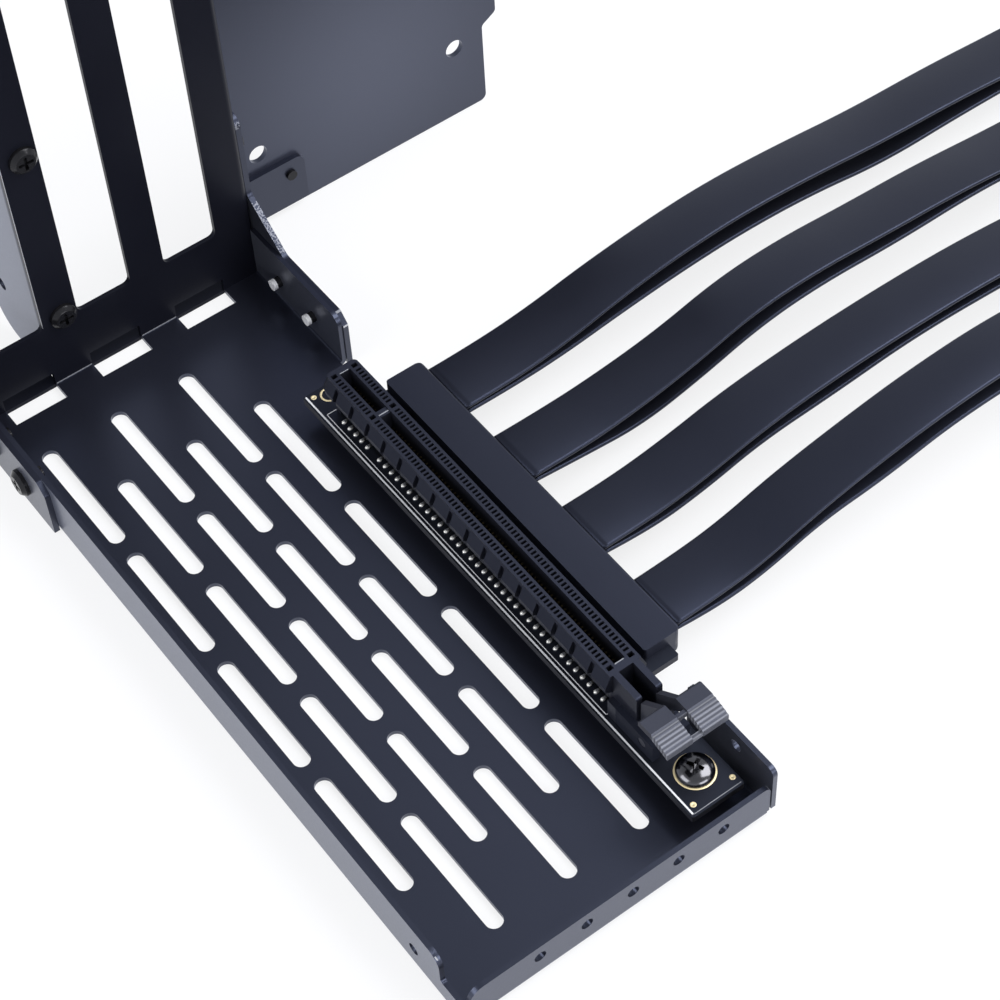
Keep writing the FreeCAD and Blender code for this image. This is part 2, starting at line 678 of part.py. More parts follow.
def standoff_places():
    return [
        (BOARD_SCREW_X, BOARD_SCREW_Y, STANDOFF_RADIUS),
        (REAR_SCREW_X, REAR_SCREW_Y, REAR_STANDOFF_RADIUS),
    ]


def standoff(index, tap):
    # Pressed standoff: its thinner foot sits in the tray floor, flush with the underside.
    x, y, radius = standoff_places()[index]
    post = rod(radius, Vector(x, y, SHEET), Vector(0, 0, 1), BOARD_STANDOFF)
    foot = rod(radius - 1.0, Vector(x, y, 0), Vector(0, 0, 1), SHEET)
    bore = rod(tap, Vector(x, y, SHEET + 0.6), Vector(0, 0, 1), BOARD_STANDOFF)
    return fused([post, foot]).cut(bore)


def board_screw_front():
    seat = Vector(BOARD_SCREW_X, BOARD_SCREW_Y, BOARD_TOP)
    return pan_screw(seat, Vector(0, 0, 1), FRONT_SCREW_REACH, BOARD_SCREW_HEAD_RADIUS,
                     BOARD_SCREW_HEAD_HEIGHT, SHANK_RADIUS)


def board_screw_rear():
    seat = Vector(REAR_SCREW_X, REAR_SCREW_Y, BOARD_TOP)
    return pan_screw(seat, Vector(0, 0, 1), REAR_SCREW_REACH, REAR_SCREW_HEAD_RADIUS,
                     REAR_SCREW_HEAD_HEIGHT, REAR_SCREW_SHANK_RADIUS)


def riser_board():
    board = slab_xy([
        (BOARD_REAR, BOARD_LEFT, 0.4),
        (BOARD_FRONT, BOARD_LEFT, 0.4),
        (BOARD_FRONT, BOARD_NARROW_RIGHT, 0.4),
        (BOARD_WIDE_FRONT, BOARD_NARROW_RIGHT),
        (BOARD_WIDE_FRONT, BOARD_WIDE_RIGHT, 0.4),
        (COVER_REAR, BOARD_WIDE_RIGHT, 0.4),
        (COVER_REAR, BOARD_NARROW_RIGHT),
        (BOARD_REAR, BOARD_NARROW_RIGHT, 0.4),
    ], BOARD_BOTTOM, BOARD_TOP)
    holes = [
        rod(BOARD_HOLE_RADIUS, Vector(BOARD_SCREW_X, BOARD_SCREW_Y, 0), Vector(0, 0, 1), SLOT_TOP),
        rod(REAR_SCREW_TAP_RADIUS + 0.3, Vector(REAR_SCREW_X, REAR_SCREW_Y, 0), Vector(0, 0, 1), SLOT_TOP),
    ]
    return board.cut(Part.makeCompound(holes))


def contact_xs():
    xs = [FIRST_CONTACT_X + i * CONTACT_PITCH for i in range(CONTACTS_BEFORE_KEY)]
    after = xs[-1] + KEY_GAP
    xs += [after + i * CONTACT_PITCH for i in range(CONTACTS_AFTER_KEY)]
    return xs


def slot_ring(half, rear, radius):
    return [
        (rear, -half, radius),
        (SLOT_FRONT, -half),
        (SLOT_FRONT, half),
        (rear, half, radius),
    ]


def slot_head():
    # The head flares from its top rim down to a wider skirt.
    skirt_half = SLOT_SKIRT_WIDTH / 2
    top_half = SLOT_TOP_WIDTH / 2
    skirt_rear = SLOT_REAR - SLOT_END_FLARE
    skirt = slab_xy(slot_ring(skirt_half, skirt_rear, 3.0), BOARD_TOP + SLOT_SKIRT_BOTTOM,
                    BOARD_TOP + SLOT_SKIRT_TOP)
    rim_level = SLOT_TOP - SLOT_RIM
    flare = Part.makeLoft([
        outline(slot_ring(skirt_half, skirt_rear, 3.0), on_xy(BOARD_TOP + SLOT_SKIRT_TOP)),
        outline(slot_ring(top_half, SLOT_REAR, 1.0), on_xy(rim_level)),
    ], True, True)
    rim = slab_xy(slot_ring(top_half, SLOT_REAR, 1.0), rim_level, SLOT_TOP)
    return [skirt, flare, rim]


def slot_stem():
    half = SLOT_STEM_WIDTH / 2
    skirt_half = SLOT_SKIRT_WIDTH / 2
    low = BOARD_TOP + SLOT_STEM_BOTTOM
    high = BOARD_TOP + SLOT_SKIRT_BOTTOM
    shoulder = high - 2.0
    stem = slab_yz([
        (-half, low),
        (half, low),
        (half, shoulder),
        (skirt_half, high),
        (-skirt_half, high),
        (-half, shoulder),
    ], SLOT_REAR + SLOT_FOOT_INSET, SLOT_FRONT)
    foot = box(SLOT_REAR + SLOT_FOOT_INSET, CAVITY_REAR, -half, half, BOARD_TOP, low)
    return [stem, foot]


def slot_front_end():
    # Low base with the latch channel, and two arms that guide the card's hook.
    half = BASE_WIDTH / 2
    base = box(SLOT_FRONT, SLOT_FRONT + BASE_LENGTH, -half, half, BOARD_TOP, BOARD_TOP + BASE_HEIGHT)
    channel_start = SLOT_FRONT + ARM_LENGTH + 0.2
    channel = box(channel_start, SLOT_FRONT + BASE_LENGTH + 1, -BASE_CHANNEL / 2, BASE_CHANNEL / 2,
                  BOARD_TOP - 1, BOARD_TOP + BASE_HEIGHT + 1)
    hook_way = box(SLOT_FRONT, channel_start + 1, -ARM_INNER, ARM_INNER, BOARD_TOP + 0.8, SLOT_TOP)
    arms = []
    for side in (-1, 1):
        y0, y1 = sorted((side * ARM_INNER, side * ARM_OUTER))
        arms.append(slab_xz([
            (SLOT_FRONT, BOARD_TOP),
            (SLOT_FRONT + ARM_LENGTH, BOARD_TOP),
            (SLOT_FRONT + ARM_LENGTH, SLOT_TOP, 0.5),
            (SLOT_FRONT, SLOT_TOP),
        ], y0, y1))
    pivot = rod(PIN_RADIUS + PIN_CLEARANCE, Vector(PIVOT_X, -half - 1, PIVOT_Z), Vector(0, 1, 0),
                BASE_WIDTH + 2)
    body = fused([base] + arms)
    return body.cut(Part.makeCompound([channel, hook_way, pivot]))


def slot_housing():
    solid = fused(slot_head() + slot_stem() + [slot_front_end()])
    cavity_half = CAVITY_WIDTH / 2
    floor = BOARD_TOP + SLOT_FLOOR
    cutters = [box(CAVITY_REAR, CAVITY_FRONT, -cavity_half, cavity_half, BOARD_TOP, SLOT_TOP + 1)]
    for side in (-1, 1):
        y0, y1 = sorted((side * CELL_INNER, side * CELL_OUTER))
        cells = [(x, CELL_WIDTH) for x in contact_xs()]
        cells += [(x, END_CELL_WIDTH) for x in (FIRST_CONTACT_X - END_CELL_GAP, KEY_X,
                                                LAST_CONTACT_X + END_CELL_GAP)]
        for x, width in cells:
            cutters.append(box(x - width / 2, x + width / 2, y0, y1, SLOT_TOP - CELL_DEPTH, SLOT_TOP + 1))
        groove0, groove1 = sorted((side * (SLOT_TOP_WIDTH / 2 - 0.1), side * (SLOT_SKIRT_WIDTH / 2 + 1)))
        x = RIB_FIRST_X
        while x < SLOT_FRONT - RIB_GROOVE_WIDTH:
            cutters.append(box(x - RIB_GROOVE_WIDTH / 2, x + RIB_GROOVE_WIDTH / 2, groove0, groove1,
                               BOARD_TOP + SLOT_SKIRT_BOTTOM - 1, SLOT_TOP - SLOT_RIM - 0.4))
            x += RIB_PITCH
    solid = solid.cut(Part.makeCompound(cutters))
    key = box(KEY_X - KEY_WIDTH / 2, KEY_X + KEY_WIDTH / 2, -cavity_half, cavity_half, floor,
              SLOT_TOP - KEY_TOP_DROP)
    solid = fused([solid, key])
    solid.translate(Vector(0, SLOT_Y, 0))
    return solid


def slot_contacts():
    # Each contact lies on the cavity wall. Every second one ends in a foot outside the housing.
    inner = CAVITY_WIDTH / 2 - CONTACT_THICKNESS
    outer = CAVITY_WIDTH / 2
    top = BOARD_TOP + CONTACT_TOP
    contacts = []
    for side in (-1, 1):
        for index, x in enumerate(contact_xs()):
            start = x - CONTACT_WIDTH / 2
            if index % 2:
                foot = BOARD_TOP + CONTACT_FOOT_HEIGHT
                shape = slab_yz([
                    (side * inner, BOARD_TOP),
                    (side * CONTACT_FOOT_REACH, BOARD_TOP),
                    (side * CONTACT_FOOT_REACH, foot),
                    (side * outer, foot),
                    (side * outer, top),
                    (side * inner, top),
                ], start, start + CONTACT_WIDTH)
            else:
                y0, y1 = sorted((side * inner, side * outer))
                shape = box(start, start + CONTACT_WIDTH, y0, y1, BOARD_TOP, top)
            shape.translate(Vector(0, SLOT_Y, 0))
            contacts.append(shape)
    return Part.makeCompound(contacts)


def thumb_profile():
    # Side view of a thumb tab: flat at the rear, then sloping down over ridges at the front.
    rear = PIVOT_X + 2.2
    front = rear + TAB_LENGTH
    break_x = rear + TAB_LENGTH * 0.45
    top = BOARD_TOP + TAB_TOP
    points = [(rear, top - THUMB_THICKNESS), (rear, top - 0.5), (rear + 0.5, top), (break_x, top)]
    step = (front - break_x) / THUMB_RIDGES
    for i in range(THUMB_RIDGES):
        start = break_x + i * step
        level = top - THUMB_DROP * (i / THUMB_RIDGES) ** 1.4
        following = top - THUMB_DROP * ((i + 1) / THUMB_RIDGES) ** 1.4
        points.append((start + step * 0.3, level - RIDGE_DEPTH))
        points.append((start + step, following))
    points.append((front, top - THUMB_DROP - THUMB_THICKNESS))
    points.append((break_x, top - THUMB_THICKNESS))
    return points


def slot_latch():
    # Two cheeks turn on stub pins in the slot's base and rise to a pair of thumb tabs.
    cheek_half = LATCH_CHEEK_WIDTH / 2
    gap_half = LATCH_GAP / 2
    top = BOARD_TOP + TAB_TOP
    thumb_rear = PIVOT_X + 2.2
    arm_rear = SLOT_FRONT + ARM_LENGTH + 0.4
    pieces = []
    for side in (-1, 1):
        y0, y1 = sorted((side * gap_half, side * cheek_half))
        pieces.append(rod(LATCH_BOSS_RADIUS, Vector(PIVOT_X, y0, PIVOT_Z), Vector(0, 1, 0), y1 - y0))
        pieces.append(slab_xz([
            (PIVOT_X - LATCH_BOSS_RADIUS, PIVOT_Z),
            (PIVOT_X + LATCH_BOSS_RADIUS, PIVOT_Z),
            (PIVOT_X + 1.0, PIVOT_Z + 3.5),
            (PIVOT_X + 1.2, PIVOT_Z + 7.0),
            (thumb_rear + 3.2, top - 1.2),
            (thumb_rear, top - 0.6),
            (arm_rear, SLOT_TOP - 1.0),
            (arm_rear, PIVOT_Z + 2.5),
        ], y0, y1))
        t0, t1 = sorted((side * gap_half, side * (gap_half + THUMB_WIDTH)))
        pieces.append(slab_xz(thumb_profile(), t0, t1))
        p0, p1 = sorted((side * (cheek_half - 0.5), side * (BASE_WIDTH / 2 - 0.1)))
        pieces.append(rod(PIN_RADIUS, Vector(PIVOT_X, p0, PIVOT_Z), Vector(0, 1, 0), p1 - p0))
    front = thumb_rear + TAB_LENGTH
    bars = [
        box(thumb_rear + 2.9, thumb_rear + 3.8, -gap_half - 0.5, gap_half + 0.5, top - 1.45, top - 0.35),
        box(front - 1.0, front - 0.1, -gap_half - 0.5, gap_half + 0.5, top - 2.7, top - 1.9),
        box(PIVOT_X - 1.2, PIVOT_X + 0.6, -gap_half - 0.3, gap_half + 0.3, PIVOT_Z + 3.2, PIVOT_Z + 4.6),
    ]
    solid = fused(pieces + bars)
    solid.translate(Vector(0, SLOT_Y, 0))
    return solid


def cable_cover_top():
    # Moulded shell over the ribbon roots, wrapped round the board's edge.
    section = [
        (COVER_LEFT, BOARD_TOP),
        (COVER_LEFT, COVER_TOP),
        (COVER_RIGHT, COVER_TOP, 0.5),
        (COVER_RIGHT, BOARD_BOTTOM),
        (BOARD_WIDE_RIGHT, BOARD_BOTTOM),
        (BOARD_WIDE_RIGHT, BOARD_TOP),
    ]
    shell = slab_yz(section, COVER_REAR, COVER_FRONT)
    plan = slab_xy([
        (COVER_REAR, COVER_LEFT, 0.6),
        (COVER_FRONT, COVER_LEFT, 0.6),
        (COVER_FRONT, COVER_RIGHT, COVER_CORNER),
        (COVER_REAR, COVER_RIGHT, COVER_CORNER),
    ], BOARD_BOTTOM - 1, COVER_TOP + 1)
    return shell.common(plan)


def cable_cover_bottom():
    section = [
        (COVER_LEFT + 1.7, BOARD_BOTTOM),
        (COVER_LEFT + 1.7, BOARD_BOTTOM - COVER_UNDER, 0.6),
        (COVER_RIGHT, BOARD_BOTTOM - COVER_UNDER, 1.2),
        (COVER_RIGHT, BOARD_BOTTOM),
    ]
    shell = slab_yz(section, COVER_REAR, COVER_FRONT)
    plan = slab_xy([
        (COVER_REAR, COVER_LEFT, 0.6),
        (COVER_FRONT, COVER_LEFT, 0.6),
        (COVER_FRONT, COVER_RIGHT, COVER_CORNER),
        (COVER_REAR, COVER_RIGHT, COVER_CORNER),
    ], BOARD_BOTTOM - COVER_UNDER - 1, BOARD_BOTTOM + 1)
    return shell.common(plan)


# Routes of the ribbons' centre lines, as (y, z) from the cover to the plug. The first and last
# points lie on the cover's and the plug's faces.
UPPER_ROUTES = [
    [(41.28, 9.4), (53, 9.4), (66, 10.9), (80, 14.1), (96, 16.4), (112, 17.3), (130, 16.2),
     (150, 14.0), (172, 13.2), (194, 11.0), (214, 9.6), (230, 8.9)],
    [(41.28, 9.4), (54, 9.1), (67, 10.2), (81, 12.6), (96, 17.0), (112, 18.0), (130, 16.6),
     (150, 15.6), (170, 13.0), (194, 10.6), (214, 9.4), (230, 8.9)],
    [(41.28, 9.4), (52, 9.3), (65, 11.0), (80, 14.6), (98, 16.4), (118, 16.9), (140, 16.2),
     (162, 13.4), (184, 11.2), (208, 9.6), (230, 8.9)],
    [(41.28, 9.4), (51, 9.5), (62, 11.0), (74, 15.0), (90, 18.3), (108, 20.7), (128, 21.2),
     (150, 18.0), (172, 14.0), (194, 11.0), (214, 9.5), (230, 8.9)],
]
LOWER_ROUTES = [
    [(41.28, 7.9), (53, 7.6), (66, 8.3), (80, 10.3), (96, 12.0), (112, 12.7), (130, 11.7),
     (150, 8.4), (172, 8.7), (194, 8.0), (214, 7.5), (230, 7.4)],
    [(41.28, 7.9), (54, 6.4), (68, 5.1), (82, 8.1), (98, 13.0), (114, 14.3), (134, 13.0),
     (156, 13.3), (178, 10.6), (200, 8.4), (216, 7.6), (230, 7.4)],
    [(41.28, 7.9), (53, 6.2), (66, 7.9), (80, 11.6), (98, 12.4), (118, 14.1), (140, 13.0),
     (162, 10.6), (184, 8.9), (208, 7.8), (230, 7.4)],
    [(41.28, 7.9), (51, 6.3), (63, 7.5), (76, 11.9), (92, 12.8), (108, 16.0), (128, 16.1),
     (150, 14.0), (172, 10.6), (194, 8.6), (214, 7.7), (230, 7.4)],
]


def ribbon_side(route, offset):
    # One face of the ribbon: the runs and tangent arcs, offset along their normals.
    def normal(a, b):
        length = math.dist(a, b)
        return (-(b[1] - a[1]) / length, (b[0] - a[0]) / length)

    def moved(point, direction):
        return Vector(0, point[0] + direction[0] * offset, point[1] + direction[1] * offset)

    edges = []
    pen = moved(route[0], normal(route[0], route[1]))
    for before, corner, after in zip(route, route[1:], route[2:]):
        shorter = min(math.dist(before, corner), math.dist(corner, after))
        reach = CORNER_SHARE * shorter
        n0 = normal(before, corner)
        n1 = normal(corner, after)
        turn = math.acos(max(-1.0, min(1.0, n0[0] * n1[0] + n0[1] * n1[1])))
        radius = reach / math.tan(turn / 2)
        start, apex, end = corner_points(before, corner, after, radius)
        mean = (n0[0] + n1[0], n0[1] + n1[1])
        size = math.hypot(*mean)
        bend_start = moved(start, n0)
        edges.append(Part.LineSegment(pen, bend_start).toShape())
        pen = moved(end, n1)
        edges.append(Part.Arc(bend_start, moved(apex, (mean[0] / size, mean[1] / size)), pen).toShape())
    edges.append(Part.LineSegment(pen, moved(route[-1], normal(route[-2], route[-1]))).toShape())
    return edges


def ribbon_measure(route):
    # Length of the centre line, and the smallest bend radius.
    length = sum(math.dist(a, b) for a, b in zip(route, route[1:]))
    radii = []
    for before, corner, after in zip(route, route[1:], route[2:]):
        shorter = min(math.dist(before, corner), math.dist(corner, after))
        reach = CORNER_SHARE * shorter
        heading_in = math.atan2(corner[1] - before[1], corner[0] - before[0])
        heading_out = math.atan2(after[1] - corner[1], after[0] - corner[0])
        turn = abs(heading_out - heading_in)
        radii.append(reach / math.tan(turn / 2))
        length += radii[-1] * turn - 2 * reach
    return length, radii


def ribbon_x(index):
    middle = (COVER_REAR + COVER_FRONT) / 2 + 0.4
    return middle + (index - (RIBBON_COUNT - 1) / 2) * RIBBON_PITCH


def ribbon(route, index):
    near = ribbon_side(route, -RIBBON_THICKNESS / 2)
    far = ribbon_side(route, RIBBON_THICKNESS / 2)
    ends = []
    for k in (0, -1):
        a = near[k].Vertexes[k].Point
        b = far[k].Vertexes[k].Point
        ends.append(Part.LineSegment(a, b).toShape())
    wire = Part.Wire(Part.__sortEdges__(near + far + ends))
    strip = Part.Face(wire).extrude(Vector(RIBBON_WIDTH, 0, 0))
    strip.translate(Vector(ribbon_x(index) - RIBBON_WIDTH / 2, 0, 0))
    return strip


def plug_centre():
    return ribbon_x((RIBBON_COUNT - 1) / 2)


def plug_face():
    return UPPER_ROUTES[0][-1][0]


def plug_cover(z0, z1, rounded_top):
    half = PLUG_LENGTH / 2
    near = plug_face()
    far = near + PLUG_DEPTH
    block = slab_xy([
        (plug_centre() - half, near, 1.5),
        (plug_centre() + half, near, 1.5),
        (plug_centre() + half, far, 1.5),
        (plug_centre() - half, far, 1.5),
    ], z0, z1)
    low, high = (0.0, 1.0) if rounded_top else (1.0, 0.0)
    corners = [(near, z0), (far, z0), (far, z1), (near, z1)]
    radii = [low, low, high, high]
    section = slab_yz([c + (r,) if r else c for c, r in zip(corners, radii)],
                      plug_centre() - half - 1, plug_centre() + half + 1)
    return block.common(section)


def plug_board_levels():
    return PLUG_BOTTOM_HEIGHT - BOARD_THICKNESS / 2, PLUG_BOTTOM_HEIGHT + BOARD_THICKNESS / 2


def plug_board():
    # Card edge for the host board's slot, with its key notch.
    low, high = plug_board_levels()
    near = plug_face() + PLUG_BOARD_INSET
    shoulder = plug_face() + PLUG_DEPTH
    tip = shoulder + EDGE_REACH
    edge_start = plug_centre() - EDGE_LENGTH / 2
    edge_end = plug_centre() + EDGE_LENGTH / 2
    board = slab_xy([
        (edge_start - 0.7, near),
        (edge_end + 0.7, near),
        (edge_end + 0.7, shoulder),
        (edge_end, shoulder),
        (edge_end, tip, 1.0),
        (edge_start, tip, 1.0),
        (edge_start, shoulder),
        (edge_start - 0.7, shoulder),
    ], low, high)
    key = plug_key_x()
    notch = box(key - EDGE_KEY_WIDTH / 2, key + EDGE_KEY_WIDTH / 2, shoulder + EDGE_KEY_MARGIN, tip + 1,
                low - 1, high + 1)
    return board.cut(notch)


def plug_contact_xs():
    span = contact_xs()
    middle = (span[0] + span[-1]) / 2
    return [x - middle + plug_centre() for x in span]


def plug_key_x():
    xs = plug_contact_xs()
    return (xs[CONTACTS_BEFORE_KEY - 1] + xs[CONTACTS_BEFORE_KEY]) / 2


def plug_shell(bottom):
    # One half of the plug's moulded cover, hollowed for the board that it clamps.
    low, high = plug_board_levels()
    if bottom:
        shell = plug_cover(0, PLUG_BOTTOM_HEIGHT, False)
    else:
        shell = plug_cover(PLUG_BOTTOM_HEIGHT, PLUG_BOTTOM_HEIGHT + PLUG_TOP_HEIGHT + 1.0, True)
    half = EDGE_LENGTH / 2 + 0.7
    pocket = box(plug_centre() - half, plug_centre() + half, plug_face() + PLUG_BOARD_INSET,
                 plug_face() + PLUG_DEPTH + 1, low, high)
    return shell.cut(pocket)


def build():
    parts = {
        "tray": tray(),
        "card_plate": card_plate(),
        "side_plate_right": side_plate_right(),
        "side_plate_left": side_plate_left(),
        "rear_panel": rear_panel(),
        "rear_bracket": rear_bracket(),
        "bracket_screws": bracket_screws(),
        "side_screws_right": side_screws(1),
        "side_screws_left": side_screws(-1),
        "panel_screw": panel_screw(),
        "board_standoff_front": standoff(0, TAP_RADIUS),
        "board_standoff_rear": standoff(1, REAR_SCREW_TAP_RADIUS),
        "board_screw_front": board_screw_front(),
        "board_screw_rear": board_screw_rear(),
        "riser_board": riser_board(),
        "slot_housing": slot_housing(),
        "slot_contacts": slot_contacts(),
        "slot_latch": slot_latch(),
        "cable_cover_top": cable_cover_top(),
        "cable_cover_bottom": cable_cover_bottom(),
        "plug_board": plug_board(),
        "plug_cover_bottom": plug_shell(True),
        "plug_cover_top": plug_shell(False),
    }
    for index in range(RIBBON_COUNT):
        for layer, routes in (("upper", UPPER_ROUTES), ("lower", LOWER_ROUTES)):
            name = "ribbon_%d_%s" % (index + 1, layer)
            shape = ribbon(routes[index], index)
            length, radii = ribbon_measure(routes[index])
            section = RIBBON_WIDTH * RIBBON_THICKNESS
            print("%s length %.1f volume ratio %.4f smallest radius %.0f"
                  % (name, length, shape.Volume / (section * length), min(radii)))
            parts[name] = shape
    return parts


def main():
    os.makedirs("parts", exist_ok=True)
    for name, shape in build().items():
        shape.translate(Vector(-TRAY_LENGTH / 2, 0, 0))
        solids = shape.Solids
        print("%-22s solids %3d valid %s volume %9.1f" % (name, len(solids), shape.isValid(), shape.Volume))
        shape.exportStep("parts/%s.step" % name)


main()
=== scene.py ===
import json
import math

import bmesh
import bpy
from mathutils import Matrix, Quaternion, Vector


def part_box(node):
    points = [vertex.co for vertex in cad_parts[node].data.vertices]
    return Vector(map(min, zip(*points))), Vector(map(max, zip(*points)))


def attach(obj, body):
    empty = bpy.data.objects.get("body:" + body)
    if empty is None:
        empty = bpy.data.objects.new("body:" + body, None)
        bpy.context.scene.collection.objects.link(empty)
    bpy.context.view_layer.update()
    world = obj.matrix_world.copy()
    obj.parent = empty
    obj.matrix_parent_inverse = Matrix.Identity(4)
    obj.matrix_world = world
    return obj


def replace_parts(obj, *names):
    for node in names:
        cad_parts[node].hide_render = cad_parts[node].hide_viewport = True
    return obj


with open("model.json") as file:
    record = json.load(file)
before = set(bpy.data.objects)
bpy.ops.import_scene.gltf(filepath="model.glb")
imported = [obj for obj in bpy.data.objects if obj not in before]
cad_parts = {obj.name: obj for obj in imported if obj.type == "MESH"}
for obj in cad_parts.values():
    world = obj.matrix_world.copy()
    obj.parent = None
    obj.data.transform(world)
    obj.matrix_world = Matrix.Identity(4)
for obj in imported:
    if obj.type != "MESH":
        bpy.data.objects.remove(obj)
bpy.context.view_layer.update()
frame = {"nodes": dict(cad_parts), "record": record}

# The frame is in metres, with its x from the middle of the tray.
MM = 0.001
HALF_TRAY = 0.0825

# Camera, solved from the photograph: place, turn (axis times angle, world to camera with the camera
# looking along its own +Z and +Y down), and focal length in pixels of a 1000 pixel frame.
CAMERA_PLACE = Vector((0.25437, -0.13396, 0.40217))
CAMERA_TURN = Vector((2.2781, 1.1240, -0.4340))
FOCAL_PIXELS = 2614.6
FRAME_PIXELS = 1000
SENSOR_MM = 36.0

# Ribbons, in metres. A route holds the y and z of a strip's centre line, in millimetres.
RIBBON_WIDTH = 0.0128
RIBBON_THICKNESS = 0.0010
RIBBON_EDGE_STEPS = 6
RIBBON_FIRST_X = 0.05675 - HALF_TRAY
RIBBON_PITCH = 0.0217
STEPS_BETWEEN_POINTS = 12
UPPER_ROUTES = [
    [(41.28, 9.4), (53, 9.4), (66, 10.9), (80, 14.1), (96, 16.4), (112, 17.3), (130, 16.2),
     (150, 14.0), (172, 13.2), (194, 11.0), (214, 9.6), (230, 8.9)],
    [(41.28, 9.4), (54, 9.1), (67, 10.2), (81, 12.6), (96, 17.0), (112, 18.0), (130, 16.6),
     (150, 15.6), (170, 13.0), (194, 10.6), (214, 9.4), (230, 8.9)],
    [(41.28, 9.4), (52, 9.3), (65, 11.0), (80, 14.6), (98, 16.4), (118, 16.9), (140, 16.2),
     (162, 13.4), (184, 11.2), (208, 9.6), (230, 8.9)],
    [(41.28, 9.4), (51, 9.5), (62, 11.0), (74, 15.0), (90, 18.3), (108, 20.7), (128, 21.2),
     (150, 18.0), (172, 14.0), (194, 11.0), (214, 9.5), (230, 8.9)],
]
LOWER_ROUTES = [
    [(41.28, 7.9), (53, 7.6), (66, 8.3), (80, 10.3), (96, 12.0), (112, 12.7), (130, 11.7),
     (150, 8.4), (172, 8.7), (194, 8.0), (214, 7.5), (230, 7.4)],
    [(41.28, 7.9), (54, 6.4), (68, 5.1), (82, 8.1), (98, 13.0), (114, 14.3), (134, 13.0),
     (156, 13.3), (178, 10.6), (200, 8.4), (216, 7.6), (230, 7.4)],
    [(41.28, 7.9), (53, 6.2), (66, 7.9), (80, 11.6), (98, 12.4), (118, 14.1), (140, 13.0),
     (162, 10.6), (184, 8.9), (208, 7.8), (230, 7.4)],
    [(41.28, 7.9), (51, 6.3), (63, 7.5), (76, 11.9), (92, 12.8), (108, 16.0), (128, 16.1),
     (150, 14.0), (172, 10.6), (194, 8.6), (214, 7.7), (230, 7.4)],
]

# An upper strip's edge on the +x side rises over the hump by this much. The lower strips lie flat.
UPPER_RISES = (0.0014, 0.0018, 0.0009, 0.0010)
LOWER_RISES = (0.0, 0.0, 0.0, 0.0)
ROLL_START_Y = 0.052
ROLL_FULL_Y = 0.095
ROLL_HOLD_Y = 0.150
ROLL_END_Y = 0.220

# From here, places are in the part's own millimetres, with x from the tray's rear edge.
# Riser board, slot and plug
BOARD_TOP = 7.6
BOARD_LEFT = 18.68
BOARD_REAR = 39.4
BOARD_FRONT = 160.7
BOARD_NARROW_RIGHT = 30.4
BOARD_SCREW = (153.5, 25.04)
SLOT_Y = 24.45
KEY_X = 60.2
CONTACT_FIRST_X = 48.7
CONTACTS_BEFORE_KEY = 11
CONTACTS_AFTER_KEY = 71
KEY_GAP = 3.0
FINGER_WIDTH = 0.7
FINGER_LENGTH = 5.2
FINGER_LIFT = 0.03
FINGER_INSET = 0.6

# Printed lines on the board
INK_LIFT = 0.02
INK_WIDTH = 0.16
SIDE_LINE_INSET = 0.35
SIDE_LINE_WIDTH = 0.352
REAR_LINE_INSET = 0.3
FRONT_LINE_INSET = 0.45
RIGHT_LINE_INSET = 0.4
RAIL_INSET = 1.25
RAIL_ENDS = (45.9, 134.7)
RAIL_TICK = 2.3

# Gold on the board, as (radius, height) profiles, and solder at the contacts' feet
PAD_PLACES = ((40.7, 20.45), (158.6, 20.45), (158.5, 29.4))
PAD_PROFILE = [(0.02, 0), (0.60, 0), (0.56, INK_LIFT), (0.02, INK_LIFT)]
SCREW_RING = [(3.2, 0), (3.92, 0), (3.90, INK_LIFT), (3.22, INK_LIFT)]
PEG_PLACE = (41.9, 23.3)
PEG_RING = [(1.45, 0), (1.85, 0), (1.82, INK_LIFT), (1.48, INK_LIFT)]
PAD_STEPS = 20
SCREW_RING_STEPS = 64
PEG_RING_STEPS = 48
FOOT_REACH = 2.85
SOLDER_LIFT = 0.12
SOLDER_SIZE = (0.46, 0.62, 0.36)

# Front board screw and its cross recess
SCREW_HEAD_RADIUS = 3.6
SCREW_HEAD_HEIGHT = 2.0
SCREW_RIM = 0.35
SCREW_SHANK_RADIUS = 1.2
SCREW_REACH = 4.8
SCREW_STEPS = 64
SCREW_SHARP_FROM = math.radians(30)
DOME_STEPS = 10
RECESS_TURN = math.radians(28)
RECESS_REACH = 1.9
RECESS_HALF = 0.42
RECESS_DEPTH = 1.3
RECESS_FLOOR_REACH = 1.045
RECESS_FLOOR_HALF = 0.294
CUTTER_ABOVE = 0.4

# Fold behind the plate's foot, and the notches it closes
CARD_PITCH = 20.32
CARD_TO_WINDOW = 5.5
NOTCH_WIDTH = 11.8
FOLD_REAR = -5.5
FOLD_BEND = -1.02
FOLD_FRONT = -0.03
FOLD_LEVELS = (0.04, 0.96)
FOLD_SPANS = ((-32.9, -15.4), (-7.8, 32.9))
FOLD_CLEARANCE = 0.06

# Painted highlights on sheet edges, as x, y and z limits: the left flange's front corner, two spots on the
# right side plate, the seam between plate and tray in two stretches, and the third window's edge
EDGE_HIGHLIGHTS = [
    (157.5, 158.3, -34.0, -33.75, 13.38, 13.42),
    (29.3, 29.9, 34.05, 35.15, 13.38, 13.42),
    (31.76, 31.82, 34.05, 35.15, 10.7, 11.2),
    (0.0, 0.12, -15.7, -7.4, 1.0, 1.15),
    (0.0, 0.12, 4.7, 12.9, 1.0, 1.15),
    (-0.1, 0.02, -15.52, -15.44, 17.6, 106.5),
]
